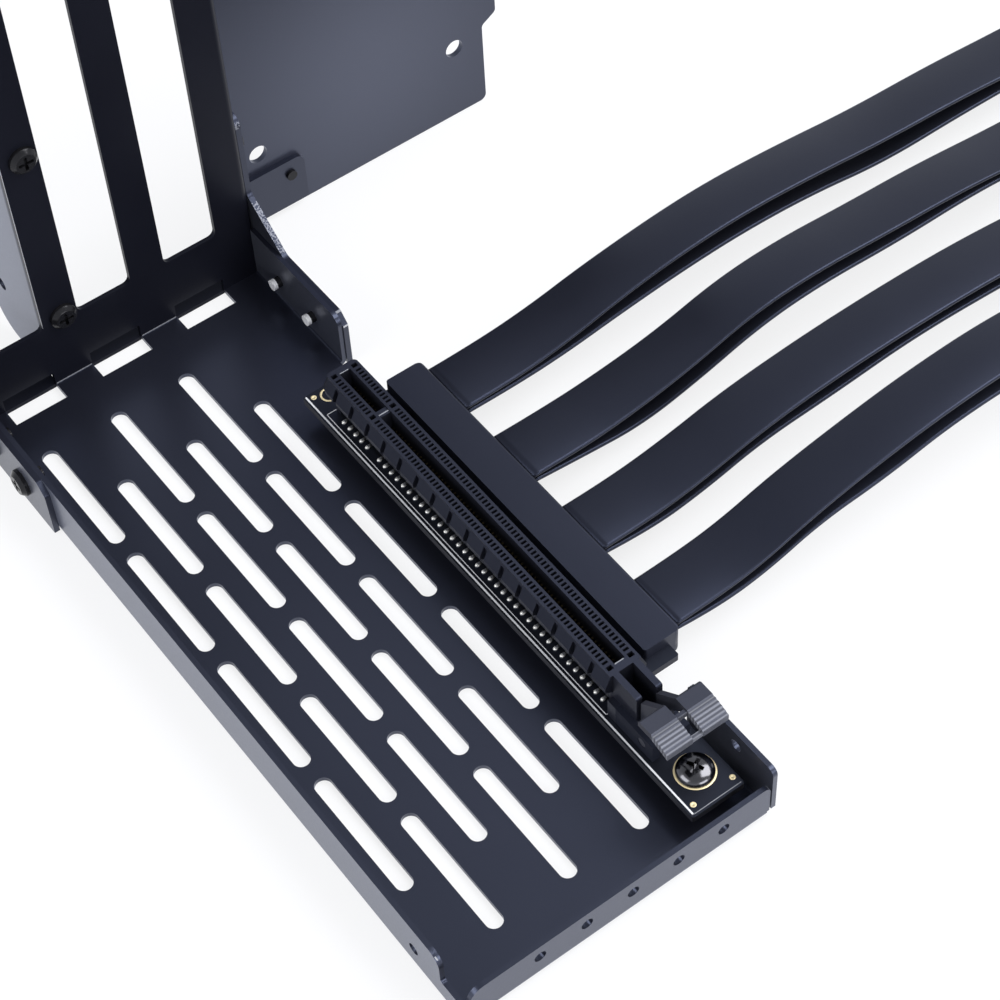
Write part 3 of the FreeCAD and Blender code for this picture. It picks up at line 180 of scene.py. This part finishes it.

# Painted highlights on the top of the slot's key rib and on the two ends of its cavity
RIM_HIGHLIGHTS = [
    (KEY_X + 0.1, KEY_X + 0.35, SLOT_Y - 1.15, SLOT_Y + 1.15, 18.54, 18.57),
    (47.3, 47.5, SLOT_Y - 1.15, SLOT_Y + 0.85, 18.84, 18.87),
    (132.9, 133.1, SLOT_Y - 1.15, SLOT_Y + 0.85, 18.84, 18.87),
]

# Where a finish, a painted highlight or painted shade changes on a surface, in metres of the frame
# The slanted edge's band is uncoated metal with its painted highlight; the upper corner's band is a painted
# highlight
SLANT_EDGE_Z = (0.0139, 0.0212)
CORNER_HIGHLIGHT_Z = (0.0405, 0.0425)
BARE_AND_HIGHLIT_FROM_X = -0.0840
SCREW_TIP_Y = (0.0305, 0.0319)
SCREW_TIP_MAX_X = -0.055
SCREW_TIP_MAX_Z = 0.009
SLOT_BASE_MIN_X = 0.0545
SLOT_BASE_MAX_Z = 0.0125
CONTACT_FEET_MAX_Z = 0.0088
THUMB_MIN_Z = 0.0195
THUMB_RIDGES_X = (0.0677, 0.0723)
THUMB_RIDGE_PITCH = 0.00074
# Middle and reach of the rear panel's painted highlight
PANEL_HIGHLIGHT_Y = 0.072
PANEL_HIGHLIGHT_Z = 0.030
PANEL_HIGHLIGHT_REACH = 0.046

# Finishes. Gloss on the dark ones is a little blue.
WHITE = (1.0, 1.0, 1.0)
COOL = (0.60, 0.68, 1.0)
COOLER = (0.54, 0.63, 1.0)
SHEEN_COLOUR = (0.76, 0.81, 1.0)
SHEEN_ROUGHNESS = 0.30
MOTTLE_SCALE = 60.0
ROUGHNESS_SPREAD = 0.04
GRAIN_DEPTH = 0.00002
PATCH_SCALE = 2600.0

# Nodes with rounded edges: name, width in metres, segments
WELD_DISTANCE = 1e-6
ROUNDED_FROM = math.radians(35)
SOFT_EDGES = [
    ("bracket_screws", 0.00025, 2),
    ("cable_cover_top", 0.00025, 2),
]

# Room: a white floor, a pale world and three area lamps (name, place, size, watts)
FLOOR_HALF = 3.0
FLOOR_LEVEL = -0.0003
FLOOR_PAPER = (0.88, 0.90, 0.96)
FLOOR_WHITE = 0.80
ROOM_COLOUR = (0.92, 0.95, 1.0)
ROOM_AT_HORIZON = 0.95
ROOM_OVERHEAD = 0.50
LAMP_TARGET = Vector((0, 0.03, 0.02))
LAMPS = [
    ("key", (0.25, 0.75, 1.0), (0.9, 0.9), 14),
    ("left", (-0.1, -0.9, 0.7), (0.8, 0.6), 6),
    ("front", (1.0, 0.1, 0.45), (0.7, 0.4), 4),
]


class Graph:
    # Short calls that add nodes to a material's or a world's node tree.

    def __init__(self, owner):
        self.nodes = owner.node_tree.nodes
        self.links = owner.node_tree.links

    def noise(self, scale, detail=2.0):
        place = self.nodes.new("ShaderNodeTexCoord")
        texture = self.nodes.new("ShaderNodeTexNoise")
        texture.inputs["Scale"].default_value = scale
        texture.inputs["Detail"].default_value = detail
        self.links.new(place.outputs["Object"], texture.inputs["Vector"])
        return texture.outputs["Fac"]

    def ramp(self, value, low, high, start=0.0, end=1.0, easing="LINEAR"):
        # Maps the range from start to end onto the range from low to high.
        mapping = self.nodes.new("ShaderNodeMapRange")
        mapping.interpolation_type = easing
        mapping.inputs["From Min"].default_value = start
        mapping.inputs["From Max"].default_value = end
        mapping.inputs["To Min"].default_value = low
        mapping.inputs["To Max"].default_value = high
        self.links.new(value, mapping.inputs["Value"])
        return mapping.outputs["Result"]

    def tint(self, value, dark, light):
        mix = self.nodes.new("ShaderNodeMix")
        mix.data_type = "RGBA"
        mix.inputs["A"].default_value = (*dark, 1)
        mix.inputs["B"].default_value = (*light, 1)
        self.links.new(value, mix.inputs["Factor"])
        return mix.outputs["Result"]

    def calculate(self, operation, first, second=None):
        step = self.nodes.new("ShaderNodeMath")
        step.operation = operation
        for socket, value in zip(step.inputs, (first, second)):
            if isinstance(value, float):
                socket.default_value = value
            elif value is not None:
                self.links.new(value, socket)
        return step.outputs[0]

    def above(self, value, limit):
        return self.calculate("GREATER_THAN", value, limit)

    def below(self, value, limit):
        return self.calculate("LESS_THAN", value, limit)

    def all_of(self, *masks):
        result = masks[0]
        for mask in masks[1:]:
            result = self.calculate("MULTIPLY", result, mask)
        return result

    def between(self, value, limits):
        return self.all_of(self.above(value, limits[0]), self.below(value, limits[1]))

    def split(self, vector):
        parts = self.nodes.new("ShaderNodeSeparateXYZ")
        self.links.new(vector, parts.inputs["Vector"])
        return parts.outputs["X"], parts.outputs["Y"], parts.outputs["Z"]

    def place(self):
        return self.split(self.nodes.new("ShaderNodeTexCoord").outputs["Object"])

    def face_direction(self):
        return self.split(self.nodes.new("ShaderNodeNewGeometry").outputs["True Normal"])


def empty_material(name):
    material = bpy.data.materials.new(name)
    material.use_nodes = True
    material.node_tree.nodes.clear()
    return material, Graph(material)


def surface(name, dark, light, roughness, grain, bump, metallic=0.0, level=0.5, cast=WHITE):
    # Mottled colour, mottled roughness and a fine grain as bump.
    material, graph = empty_material(name)
    shader = graph.nodes.new("ShaderNodeBsdfPrincipled")
    broad = graph.noise(MOTTLE_SCALE, detail=4.0)
    fine = graph.noise(grain)
    low, high = roughness - ROUGHNESS_SPREAD, roughness + ROUGHNESS_SPREAD
    graph.links.new(graph.tint(broad, dark, light), shader.inputs["Base Color"])
    graph.links.new(graph.ramp(fine, low, high), shader.inputs["Roughness"])
    shader.inputs["Metallic"].default_value = metallic
    shader.inputs["Specular IOR Level"].default_value = level
    shader.inputs["Specular Tint"].default_value = (*cast, 1)
    relief = graph.nodes.new("ShaderNodeBump")
    relief.inputs["Strength"].default_value = bump
    relief.inputs["Distance"].default_value = GRAIN_DEPTH
    graph.links.new(fine, relief.inputs["Height"])
    graph.links.new(relief.outputs["Normal"], shader.inputs["Normal"])
    output = graph.nodes.new("ShaderNodeOutputMaterial")
    graph.links.new(shader.outputs["BSDF"], output.inputs["Surface"])
    return material


def shader_of(material):
    return next(node for node in material.node_tree.nodes if node.type == "BSDF_PRINCIPLED")


def cover_part(material, mask, colour, roughness, metallic):
    # Where the mask is one, another finish takes over the surface.
    graph = Graph(material)
    shader = shader_of(material)
    for name, value in (("Base Color", (*colour, 1)), ("Roughness", roughness), ("Metallic", metallic)):
        socket = shader.inputs[name]
        mix = graph.nodes.new("ShaderNodeMix")
        if name == "Base Color":
            mix.data_type = "RGBA"
        usual, other = [s for s in mix.inputs if s.enabled and s.name in ("A", "B")]
        if socket.links:
            graph.links.new(socket.links[0].from_socket, usual)
        else:
            usual.default_value = socket.default_value
        other.default_value = value
        graph.links.new(mask, mix.inputs["Factor"])
        graph.links.new(next(s for s in mix.outputs if s.enabled), socket)


def powder_coat(level=1.0, sheen=0.5):
    material = surface("powder_coat", (0.0050, 0.0052, 0.0085), (0.0075, 0.0080, 0.0125),
                       roughness=0.30, grain=2200.0, bump=0.35, level=level, cast=COOL)
    shader = shader_of(material)
    shader.inputs["Sheen Weight"].default_value = sheen
    shader.inputs["Sheen Roughness"].default_value = SHEEN_ROUGHNESS
    shader.inputs["Sheen Tint"].default_value = (*SHEEN_COLOUR, 1)
    return material


def bare_and_highlit_coat():
    # Sheared edges on the right: the slanted edge shows uncoated metal in patches where the coat is thin,
    # drawn light grey so that it also paints in the edge's highlight; the band at the upper corner is a
    # painted highlight.
    material = powder_coat(level=0.8, sheen=0.25)
    material.name = "powder_coat_bare_and_highlit"
    graph = Graph(material)
    x, y, z = graph.place()
    edge = graph.below(graph.calculate("ABSOLUTE", graph.face_direction()[1]), 0.5)
    bare_and_highlit_bands = graph.calculate("MAXIMUM", graph.between(z, SLANT_EDGE_Z), graph.between(z, CORNER_HIGHLIGHT_Z))
    patches = graph.above(graph.noise(PATCH_SCALE, detail=3.0), 0.50)
    mask = graph.all_of(edge, bare_and_highlit_bands, graph.above(x, BARE_AND_HIGHLIT_FROM_X), graph.above(y, 0.0), patches)
    cover_part(material, mask, (0.20, 0.205, 0.23), roughness=0.40, metallic=0.3)
    return material


def panel_coat():
    # The rear panel's coat has a painted highlight about its middle: a soft lighter patch.
    material = powder_coat(level=0.9)
    graph = Graph(material)
    _, y, z = graph.place()
    across = graph.calculate("SUBTRACT", y, PANEL_HIGHLIGHT_Y)
    up = graph.calculate("SUBTRACT", z, PANEL_HIGHLIGHT_Z)
    squares = [graph.calculate("MULTIPLY", offset, offset) for offset in (across, up)]
    distance = graph.calculate("SQRT", graph.calculate("ADD", *squares))
    mask = graph.ramp(distance, 1.0, 0.0, end=PANEL_HIGHLIGHT_REACH, easing="SMOOTHSTEP")
    # Lighter towards the middle: painted highlight
    cover_part(material, mask, (0.040, 0.042, 0.056), roughness=0.36, metallic=0.0)
    return material


def fastener_metal():
    # Black plated steel; the screws' tips inside the tray are uncoated metal drawn near white, partly as a
    # painted highlight.
    material = surface("zinc", (0.012, 0.012, 0.014), (0.022, 0.022, 0.025),
                       roughness=0.20, grain=900.0, bump=0.15, metallic=0.5, level=0.3)
    graph = Graph(material)
    x, y, z = graph.place()
    mask = graph.all_of(graph.between(y, SCREW_TIP_Y), graph.below(x, SCREW_TIP_MAX_X),
                        graph.below(z, SCREW_TIP_MAX_Z))
    cover_part(material, mask, (0.90, 0.90, 0.92), roughness=0.50, metallic=0.3)
    return material


def latch_plastic():
    # Dark grey moulding, with painted highlights along the crests of the thumb tabs' ridges.
    material = surface("latch_plastic", (0.022, 0.023, 0.030), (0.034, 0.035, 0.044),
                       roughness=0.42, grain=1800.0, bump=0.40, cast=COOL)
    graph = Graph(material)
    x, _, z = graph.place()
    wave = graph.calculate("SINE", graph.calculate("MULTIPLY", x, 2 * math.pi / THUMB_RIDGE_PITCH))
    crest = graph.ramp(wave, 0.25, 1.0, start=-0.4)
    mask = graph.all_of(graph.between(x, THUMB_RIDGES_X), graph.above(z, THUMB_MIN_Z), crest)
    cover_part(material, mask, (0.20, 0.205, 0.23), roughness=0.40, metallic=0.0)
    return material


def moulding(name):
    return surface(name, (0.0080, 0.0082, 0.0115), (0.0120, 0.0125, 0.0170),
                   roughness=0.44, grain=1600.0, bump=0.50, level=0.6, cast=COOLER)


def housing_plastic():
    # The slot's moulding, darker and duller at its low base under the latch; the darker colour there is
    # painted shade.
    material = moulding("moulding")
    graph = Graph(material)
    x, _, z = graph.place()
    mask = graph.all_of(graph.above(x, SLOT_BASE_MIN_X), graph.below(z, SLOT_BASE_MAX_Z))
    cover_part(material, mask, (0.0030, 0.0030, 0.0040), roughness=0.75, metallic=0.0)
    return material


def board_laminate():
    # Black solder mask on the faces, dark glass laminate on the cut edges.
    material = surface("board_mask", (0.0035, 0.0038, 0.0048), (0.0065, 0.0070, 0.0085),
                       roughness=0.32, grain=2500.0, bump=0.15, level=0.6, cast=COOL)
    graph = Graph(material)
    edge = graph.below(graph.calculate("ABSOLUTE", graph.face_direction()[2]), 0.5)
    cover_part(material, edge, (0.014, 0.013, 0.013), roughness=0.55, metallic=0.0)
    return material


def contact_metal():
    # Gold darkened as painted shade where it sits in the cells, and tinned feet on the board.
    material = surface("contacts", (0.060, 0.045, 0.022), (0.090, 0.068, 0.034),
                       roughness=0.35, grain=900.0, bump=0.05, metallic=0.9)
    graph = Graph(material)
    feet = graph.below(graph.place()[2], CONTACT_FEET_MAX_Z)
    cover_part(material, feet, (0.60, 0.59, 0.56), roughness=0.30, metallic=1.0)
    return material


# The finish of each material slot, then of the nodes and pieces that have their own
BRASS = surface("standoff", (0.45, 0.38, 0.22), (0.55, 0.47, 0.28),
                roughness=0.32, grain=900.0, bump=0.10, metallic=1.0)
GOLD = surface("gold", (0.70, 0.50, 0.20), (0.82, 0.62, 0.28),
               roughness=0.26, grain=600.0, bump=0.05, metallic=1.0)
JACKET = surface("jacket", (0.0060, 0.0062, 0.0088), (0.0090, 0.0094, 0.0130),
                 roughness=0.36, grain=1200.0, bump=0.30, level=0.55, cast=COOLER)
SLOT_FINISH = {
    "black_powder_coat": powder_coat(),
    "black_zinc": fastener_metal(),
    "plated_brass": BRASS,
    "black_board": board_laminate(),
    "black_plastic": moulding("cover_moulding"),
    "grey_plastic": latch_plastic(),
    "gold_plate": GOLD,
    "black_jacket": JACKET,
}
# Coat of the side plates, with uncoated patches and painted highlights on the right plate's edges
BARE_AND_HIGHLIT_COAT = bare_and_highlit_coat()
PLATE_COAT = powder_coat(level=0.12, sheen=0.0)
NODE_FINISH = {
    "side_plate_right": BARE_AND_HIGHLIT_COAT,
    "side_plate_left": BARE_AND_HIGHLIT_COAT,
    "card_plate": PLATE_COAT,
    "rear_bracket": powder_coat(sheen=1.0),
    "rear_panel": panel_coat(),
    "slot_contacts": contact_metal(),
    "slot_housing": housing_plastic(),
}
PAD_GOLD = surface("pad_gold", (0.88, 0.74, 0.44), (0.96, 0.84, 0.56),
                   roughness=0.50, grain=600.0, bump=0.05, metallic=0.7)
NICKEL = surface("black_nickel", (0.10, 0.10, 0.11), (0.16, 0.16, 0.17),
                 roughness=0.16, grain=900.0, bump=0.10, metallic=1.0)
INK = surface("line_ink", (0.66, 0.67, 0.70), (0.78, 0.79, 0.82),
              roughness=0.60, grain=3000.0, bump=0.25)
SOLDER = surface("solder", (0.80, 0.79, 0.76), (0.90, 0.89, 0.86),
                 roughness=0.42, grain=1500.0, bump=0.20, metallic=0.8)
# Grey for the board's front print line, and for the painted highlights on the slot's rims
RIM_GREY = surface("rim_grey", (0.20, 0.21, 0.24), (0.30, 0.31, 0.34),
                   roughness=0.45, grain=1500.0, bump=0.20)
# Bright grey for the painted highlights on sheet edges
EDGE_HIGHLIGHT_GREY = surface("edge_highlight", (0.50, 0.51, 0.55), (0.68, 0.69, 0.73),
                roughness=0.32, grain=1500.0, bump=0.30, metallic=0.7)


def dress_nodes():
    # Every CAD node takes its own finish, or that of its slot in the record.
    for entry in frame["record"]["subparts"]:
        node = frame["nodes"][entry["node"]]
        finish = NODE_FINISH.get(entry["node"], SLOT_FINISH[entry["material_slot"]])
        if not node.data.materials:
            node.data.materials.append(None)
        for index in range(len(node.data.materials)):
            node.data.materials[index] = finish


def round_edges():
    # Modifiers round a node's edges; its mesh stays as it is.
    for name, width, segments in SOFT_EDGES:
        node = frame["nodes"][name]
        weld = node.modifiers.new("weld", "WELD")
        weld.merge_threshold = WELD_DISTANCE
        bevel = node.modifiers.new("edge", "BEVEL")
        bevel.width = width
        bevel.segments = segments
        bevel.limit_method = "ANGLE"
        bevel.angle_limit = ROUNDED_FROM


def metres(x, y, z):
    return Vector((x * MM - HALF_TRAY, y * MM, z * MM))


def link(obj):
    bpy.context.scene.collection.objects.link(obj)
    return obj


def piece(name, mesh, material):
    obj = link(bpy.data.objects.new(name, mesh))
    obj.data.materials.append(material)
    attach(obj, "mount")
    return obj


def finished(name, work, smooth=False):
    bmesh.ops.recalc_face_normals(work, faces=work.faces)
    mesh = bpy.data.meshes.new(name)
    work.to_mesh(mesh)
    work.free()
    for polygon in mesh.polygons:
        polygon.use_smooth = smooth
    return mesh


def join_rings(work, near, far):
    for k in range(len(near)):
        after = (k + 1) % len(near)
        work.faces.new((near[k], near[after], far[after], far[k]))


def turn_profile(work, centre, profile, steps, closed):
    # Turns (radius, height) points about the upright line through the centre. A closed profile
    # makes a ring, and an open one a solid with flat ends.
    angles = [2 * math.pi * k / steps for k in range(steps)]
    rings = []
    for radius, height in profile:
        offsets = [Vector((radius * math.cos(a), radius * math.sin(a), height)) * MM for a in angles]
        rings.append([work.verts.new(centre + offset) for offset in offsets])
    for low, high in zip(rings, rings[1:]):
        join_rings(work, low, high)
    if closed:
        join_rings(work, rings[-1], rings[0])
    else:
        work.faces.new(list(reversed(rings[0])))
        work.faces.new(rings[-1])


def add_bars(name, bars, material):
    # One piece of thin rectangles, each given by its x, y and z limits.
    work = bmesh.new()
    for x0, x1, y0, y1, z0, z1 in bars:
        centre = metres((x0 + x1) / 2, (y0 + y1) / 2, (z0 + z1) / 2)
        size = Vector((x1 - x0, y1 - y0, z1 - z0)) * MM
        bmesh.ops.create_cube(work, size=1.0, matrix=Matrix.Translation(centre) @ Matrix.Diagonal((*size, 1)))
    return piece(name, finished(name, work), material)


def contact_xs():
    before = [CONTACT_FIRST_X + i for i in range(CONTACTS_BEFORE_KEY)]
    after_key = before[-1] + KEY_GAP
    return before + [after_key + i for i in range(CONTACTS_AFTER_KEY)]


def add_board_lines():
    # Plain lines along the board's left side and round the contacts' feet, and one at its front.
    levels = (BOARD_TOP, BOARD_TOP + INK_LIFT)
    side = BOARD_LEFT + SIDE_LINE_INSET
    front = BOARD_FRONT - FRONT_LINE_INSET
    right = BOARD_NARROW_RIGHT - RIGHT_LINE_INSET
    rail = BOARD_LEFT + RAIL_INSET
    rail_rear, rail_front = RAIL_ENDS
    bars = [
        (BOARD_REAR + REAR_LINE_INSET, front, side, side + SIDE_LINE_WIDTH, *levels),
        (rail_rear, rail_front, rail, rail + INK_WIDTH, *levels),
        (rail_rear, rail_rear + INK_WIDTH, rail, rail + RAIL_TICK, *levels),
        (rail_front - INK_WIDTH, rail_front, rail, rail + RAIL_TICK, *levels),
    ]
    add_bars("board_lines", bars, INK)
    add_bars("board_front_line", [(front - INK_WIDTH, front, side, right, *levels)], RIM_GREY)


def add_board_metal():
    # Gold test pads, the screw's gold ring and the ring of the rear locating peg.
    rings = [(place, PAD_PROFILE, PAD_STEPS) for place in PAD_PLACES]
    rings += [(BOARD_SCREW, SCREW_RING, SCREW_RING_STEPS), (PEG_PLACE, PEG_RING, PEG_RING_STEPS)]
    work = bmesh.new()
    for place, profile, steps in rings:
        turn_profile(work, metres(*place, BOARD_TOP), profile, steps, closed=True)
    piece("board_pads", finished("board_pads", work, smooth=True), PAD_GOLD)


def add_solder():
    # One small fillet of solder at the foot of every second contact, on both sides of the slot.
    shape = Matrix.Diagonal((*(Vector(SOLDER_SIZE) * MM), 1))
    work = bmesh.new()
    for x in contact_xs()[1::2]:
        for side in (-1, 1):
            place = Matrix.Translation(metres(x, SLOT_Y + side * FOOT_REACH, BOARD_TOP + SOLDER_LIFT))
            bmesh.ops.create_icosphere(work, subdivisions=2, radius=1.0, matrix=place @ shape)
    piece("solder_joints", finished("solder_joints", work, smooth=True), SOLDER)


def add_plug_plating():
    # Gold contacts on both faces of the plug's edge board, at the slot's pitch and with its key gap.
    low, high = (Vector(corner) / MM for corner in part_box("plug_board"))
    xs = contact_xs()
    shift = (low.x + high.x) / 2 + HALF_TRAY / MM - (xs[0] + xs[-1]) / 2
    tip = high.y - FINGER_INSET
    bars = []
    for x in xs:
        sides = (x + shift - FINGER_WIDTH / 2, x + shift + FINGER_WIDTH / 2, tip - FINGER_LENGTH, tip)
        bars.append((*sides, high.z, high.z + FINGER_LIFT))
        bars.append((*sides, low.z - FINGER_LIFT, low.z))
    return add_bars("plug_plating", bars, GOLD)


def screw_mesh(seat):
    # A domed pan head on its shank.
    rise = SCREW_HEAD_HEIGHT - SCREW_RIM
    profile = [(SCREW_SHANK_RADIUS, -SCREW_REACH), (SCREW_SHANK_RADIUS, 0), (SCREW_HEAD_RADIUS, 0)]
    for i in range(DOME_STEPS):
        angle = math.radians(90 * i / DOME_STEPS)
        profile.append((SCREW_HEAD_RADIUS * math.cos(angle), SCREW_RIM + rise * math.sin(angle)))
    work = bmesh.new()
    turn_profile(work, seat, profile, SCREW_STEPS, closed=False)
    return finished("screw_head", work)


def recess_mesh(seat):
    # Two crossed bars that taper towards the floor of the recess.
    levels = ((SCREW_HEAD_HEIGHT - RECESS_DEPTH, RECESS_FLOOR_REACH, RECESS_FLOOR_HALF),
              (SCREW_HEAD_HEIGHT + CUTTER_ABOVE, RECESS_REACH, RECESS_HALF))
    work = bmesh.new()
    for angle in (RECESS_TURN, RECESS_TURN + math.pi / 2):
        turn = Matrix.Rotation(angle, 3, "Z")
        rings = []
        for height, reach, half in levels:
            corners = ((-reach, -half), (reach, -half), (reach, half), (-reach, half))
            rings.append([work.verts.new(seat + turn @ Vector((x, y, height)) * MM) for x, y in corners])
        work.faces.new(list(reversed(rings[0])))
        work.faces.new(rings[1])
        join_rings(work, *rings)
    return finished("recess", work)


def cut_mesh(name, mesh, cutter_mesh):
    whole = link(bpy.data.objects.new("whole", mesh))
    cutter = link(bpy.data.objects.new("cutter", cutter_mesh))
    cut = whole.modifiers.new("cut", "BOOLEAN")
    cut.object = cutter
    cut.solver = "EXACT"
    cut.use_self = True
    result = bpy.data.meshes.new_from_object(whole.evaluated_get(bpy.context.evaluated_depsgraph_get()))
    result.name = name
    bpy.data.objects.remove(whole)
    bpy.data.objects.remove(cutter)
    return result


def add_front_screw():
    seat = metres(*BOARD_SCREW, BOARD_TOP)
    mesh = cut_mesh("front_screw", screw_mesh(seat), recess_mesh(seat))
    for polygon in mesh.polygons:
        polygon.use_smooth = True
    mesh.set_sharp_from_angle(angle=SCREW_SHARP_FROM)
    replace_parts(piece("front_screw", mesh, NICKEL), "board_screw_front")


def add_foot_folds():
    # The plate's foot is folded to the rear, so the bracket slots end at its front face.
    notches = [SLOT_Y - CARD_TO_WINDOW - i * CARD_PITCH for i in range(3)]
    half = NOTCH_WIDTH / 2 - FOLD_CLEARANCE
    work = bmesh.new()
    for low, high in FOLD_SPANS:
        outline = [(FOLD_REAR, low), (FOLD_REAR, high), (FOLD_BEND, high)]
        for y in notches:
            if low < y < high:
                outline += [(FOLD_BEND, y + half), (FOLD_FRONT, y + half),
                            (FOLD_FRONT, y - half), (FOLD_BEND, y - half)]
        outline.append((FOLD_BEND, low))
        rings = [[work.verts.new(metres(x, y, z)) for x, y in outline] for z in FOLD_LEVELS]
        for ring in rings:
            work.faces.new(ring)
        join_rings(work, *rings)
    piece("plate_foot_folds", finished("plate_foot_folds", work), PLATE_COAT)


def smooth_line(route, x):
    # Points along the smooth curve that a route's points control.
    curve = bpy.data.curves.new("route", "CURVE")
    curve.dimensions = "3D"
    spline = curve.splines.new("NURBS")
    spline.points.add(len(route) - 1)
    for point, (y, z) in zip(spline.points, route):
        point.co = (x, y * MM, z * MM, 1.0)
    spline.order_u = 3
    spline.use_endpoint_u = True
    spline.resolution_u = STEPS_BETWEEN_POINTS
    holder = link(bpy.data.objects.new("route", curve))
    bpy.context.view_layer.update()
    mesh = bpy.data.meshes.new_from_object(holder)
    points = [v.co.copy() for v in mesh.vertices]
    bpy.data.objects.remove(holder)
    bpy.data.meshes.remove(mesh)
    bpy.data.curves.remove(curve)
    return points


def ribbon_section():
    # Flat strip with rounded edges, as (across, up) offsets.
    radius = RIBBON_THICKNESS / 2
    straight = RIBBON_WIDTH / 2 - radius
    section = []
    for side in (1, -1):
        for i in range(RIBBON_EDGE_STEPS + 1):
            angle = math.pi * (i / RIBBON_EDGE_STEPS) - math.pi / 2
            section.append((side * (straight + radius * math.cos(angle)), side * radius * math.sin(angle)))
    return section


def eased(share):
    share = min(max(share, 0.0), 1.0)
    return share * share * (3 - 2 * share)


def roll_share(y):
    # How much of its roll an upper strip has at this distance from the mount.
    rising = eased((y - ROLL_START_Y) / (ROLL_FULL_Y - ROLL_START_Y))
    falling = eased((y - ROLL_HOLD_Y) / (ROLL_END_Y - ROLL_HOLD_Y))
    return rising * (1 - falling)


def ribbon_mesh(name, points, rise):
    # The strip's section along its line; rise lifts the +x edge and lowers the other.
    section = ribbon_section()
    work = bmesh.new()
    rings = []
    for index, point in enumerate(points):
        ahead = points[min(index + 1, len(points) - 1)]
        behind = points[max(index - 1, 0)]
        up = Vector((1, 0, 0)).cross((ahead - behind).normalized())
        slope = rise * roll_share(point.y) / RIBBON_WIDTH
        rings.append([work.verts.new(point + Vector((across, 0, 0)) + up * (lift + across * slope))
                      for across, lift in section])
    for near, far in zip(rings, rings[1:]):
        join_rings(work, near, far)
    work.faces.new(list(reversed(rings[0])))
    work.faces.new(rings[-1])
    mesh = finished(name, work)
    for polygon in mesh.polygons:
        polygon.use_smooth = len(polygon.vertices) == 4
    return mesh


def add_ribbons(plating):
    for layer, routes, rises in (("upper", UPPER_ROUTES, UPPER_RISES), ("lower", LOWER_ROUTES, LOWER_RISES)):
        for index, (route, rise) in enumerate(zip(routes, rises)):
            points = smooth_line(route, RIBBON_FIRST_X + index * RIBBON_PITCH)
            name = "ribbon_%d_%s" % (index + 1, layer)
            mesh = ribbon_mesh(name, points, rise)
            strip = piece("jacket_%d_%s" % (index + 1, layer), mesh, JACKET)
            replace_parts(strip, name)


def add_floor():
    # White to the camera and in reflections, with the object's shadow left on it.
    size = FLOOR_HALF
    corners = [(-size, -size, FLOOR_LEVEL), (size, -size, FLOOR_LEVEL),
               (size, size, FLOOR_LEVEL), (-size, size, FLOOR_LEVEL)]
    mesh = bpy.data.meshes.new("floor")
    mesh.from_pydata(corners, [], [(0, 1, 2, 3)])
    material, graph = empty_material("paper_floor")
    paper = graph.nodes.new("ShaderNodeBsdfDiffuse")
    paper.inputs["Color"].default_value = (*FLOOR_PAPER, 1)
    white = graph.nodes.new("ShaderNodeEmission")
    white.inputs["Color"].default_value = (*WHITE, 1)
    white.inputs["Strength"].default_value = 1.0
    rays = graph.nodes.new("ShaderNodeLightPath").outputs
    seen = graph.calculate("MAXIMUM", rays["Is Camera Ray"], rays["Is Glossy Ray"])
    seen = graph.calculate("MAXIMUM", seen, rays["Is Transmission Ray"])
    mix = graph.nodes.new("ShaderNodeMixShader")
    graph.links.new(graph.calculate("MULTIPLY", seen, FLOOR_WHITE), mix.inputs["Fac"])
    graph.links.new(paper.outputs["BSDF"], mix.inputs[1])
    graph.links.new(white.outputs["Emission"], mix.inputs[2])
    output = graph.nodes.new("ShaderNodeOutputMaterial")
    graph.links.new(mix.outputs["Shader"], output.inputs["Surface"])
    mesh.materials.append(material)
    link(bpy.data.objects.new("floor", mesh))


def add_world():
    # A pale room: a little dimmer overhead than towards the horizon, and white for the camera.
    world = bpy.data.worlds.new("studio")
    bpy.context.scene.world = world
    world.use_nodes = True
    graph = Graph(world)
    background = graph.nodes["Background"]
    up = graph.split(graph.nodes.new("ShaderNodeTexCoord").outputs["Generated"])[2]
    level = graph.ramp(up, ROOM_AT_HORIZON, ROOM_OVERHEAD, start=0.1, end=0.8)
    seen = graph.nodes.new("ShaderNodeLightPath").outputs["Is Camera Ray"]
    graph.links.new(graph.calculate("MAXIMUM", level, seen), background.inputs["Strength"])
    graph.links.new(graph.tint(seen, ROOM_COLOUR, WHITE), background.inputs["Color"])


def add_lamps():
    for name, place, size, watts in LAMPS:
        data = bpy.data.lights.new(name, "AREA")
        data.shape = "RECTANGLE"
        data.size, data.size_y = size
        data.energy = watts
        lamp = link(bpy.data.objects.new(name, data))
        lamp.location = place
        lamp.rotation_euler = (LAMP_TARGET - Vector(place)).to_track_quat("-Z", "Y").to_euler()


def add_camera():
    data = bpy.data.cameras.new("camera")
    data.sensor_width = SENSOR_MM
    data.lens = FOCAL_PIXELS / FRAME_PIXELS * SENSOR_MM
    camera = link(bpy.data.objects.new("camera", data))
    pose = Quaternion(CAMERA_TURN.normalized(), CAMERA_TURN.length).to_matrix().transposed()
    pose.col[1] = -pose.col[1]
    pose.col[2] = -pose.col[2]
    camera.matrix_world = pose.to_4x4()
    camera.location = CAMERA_PLACE
    bpy.context.scene.camera = camera


dress_nodes()
add_board_lines()
add_board_metal()
add_solder()
# Painted highlights on sheet edges
add_bars("edge_highlights", EDGE_HIGHLIGHTS, EDGE_HIGHLIGHT_GREY)
# Painted highlights on the slot's rims
add_bars("slot_rim_highlights", RIM_HIGHLIGHTS, RIM_GREY)
add_front_screw()
add_foot_folds()
round_edges()
add_ribbons(add_plug_plating())
add_floor()
add_world()
add_lamps()
add_camera()
bpy.context.scene.view_settings.view_transform = "Standard"
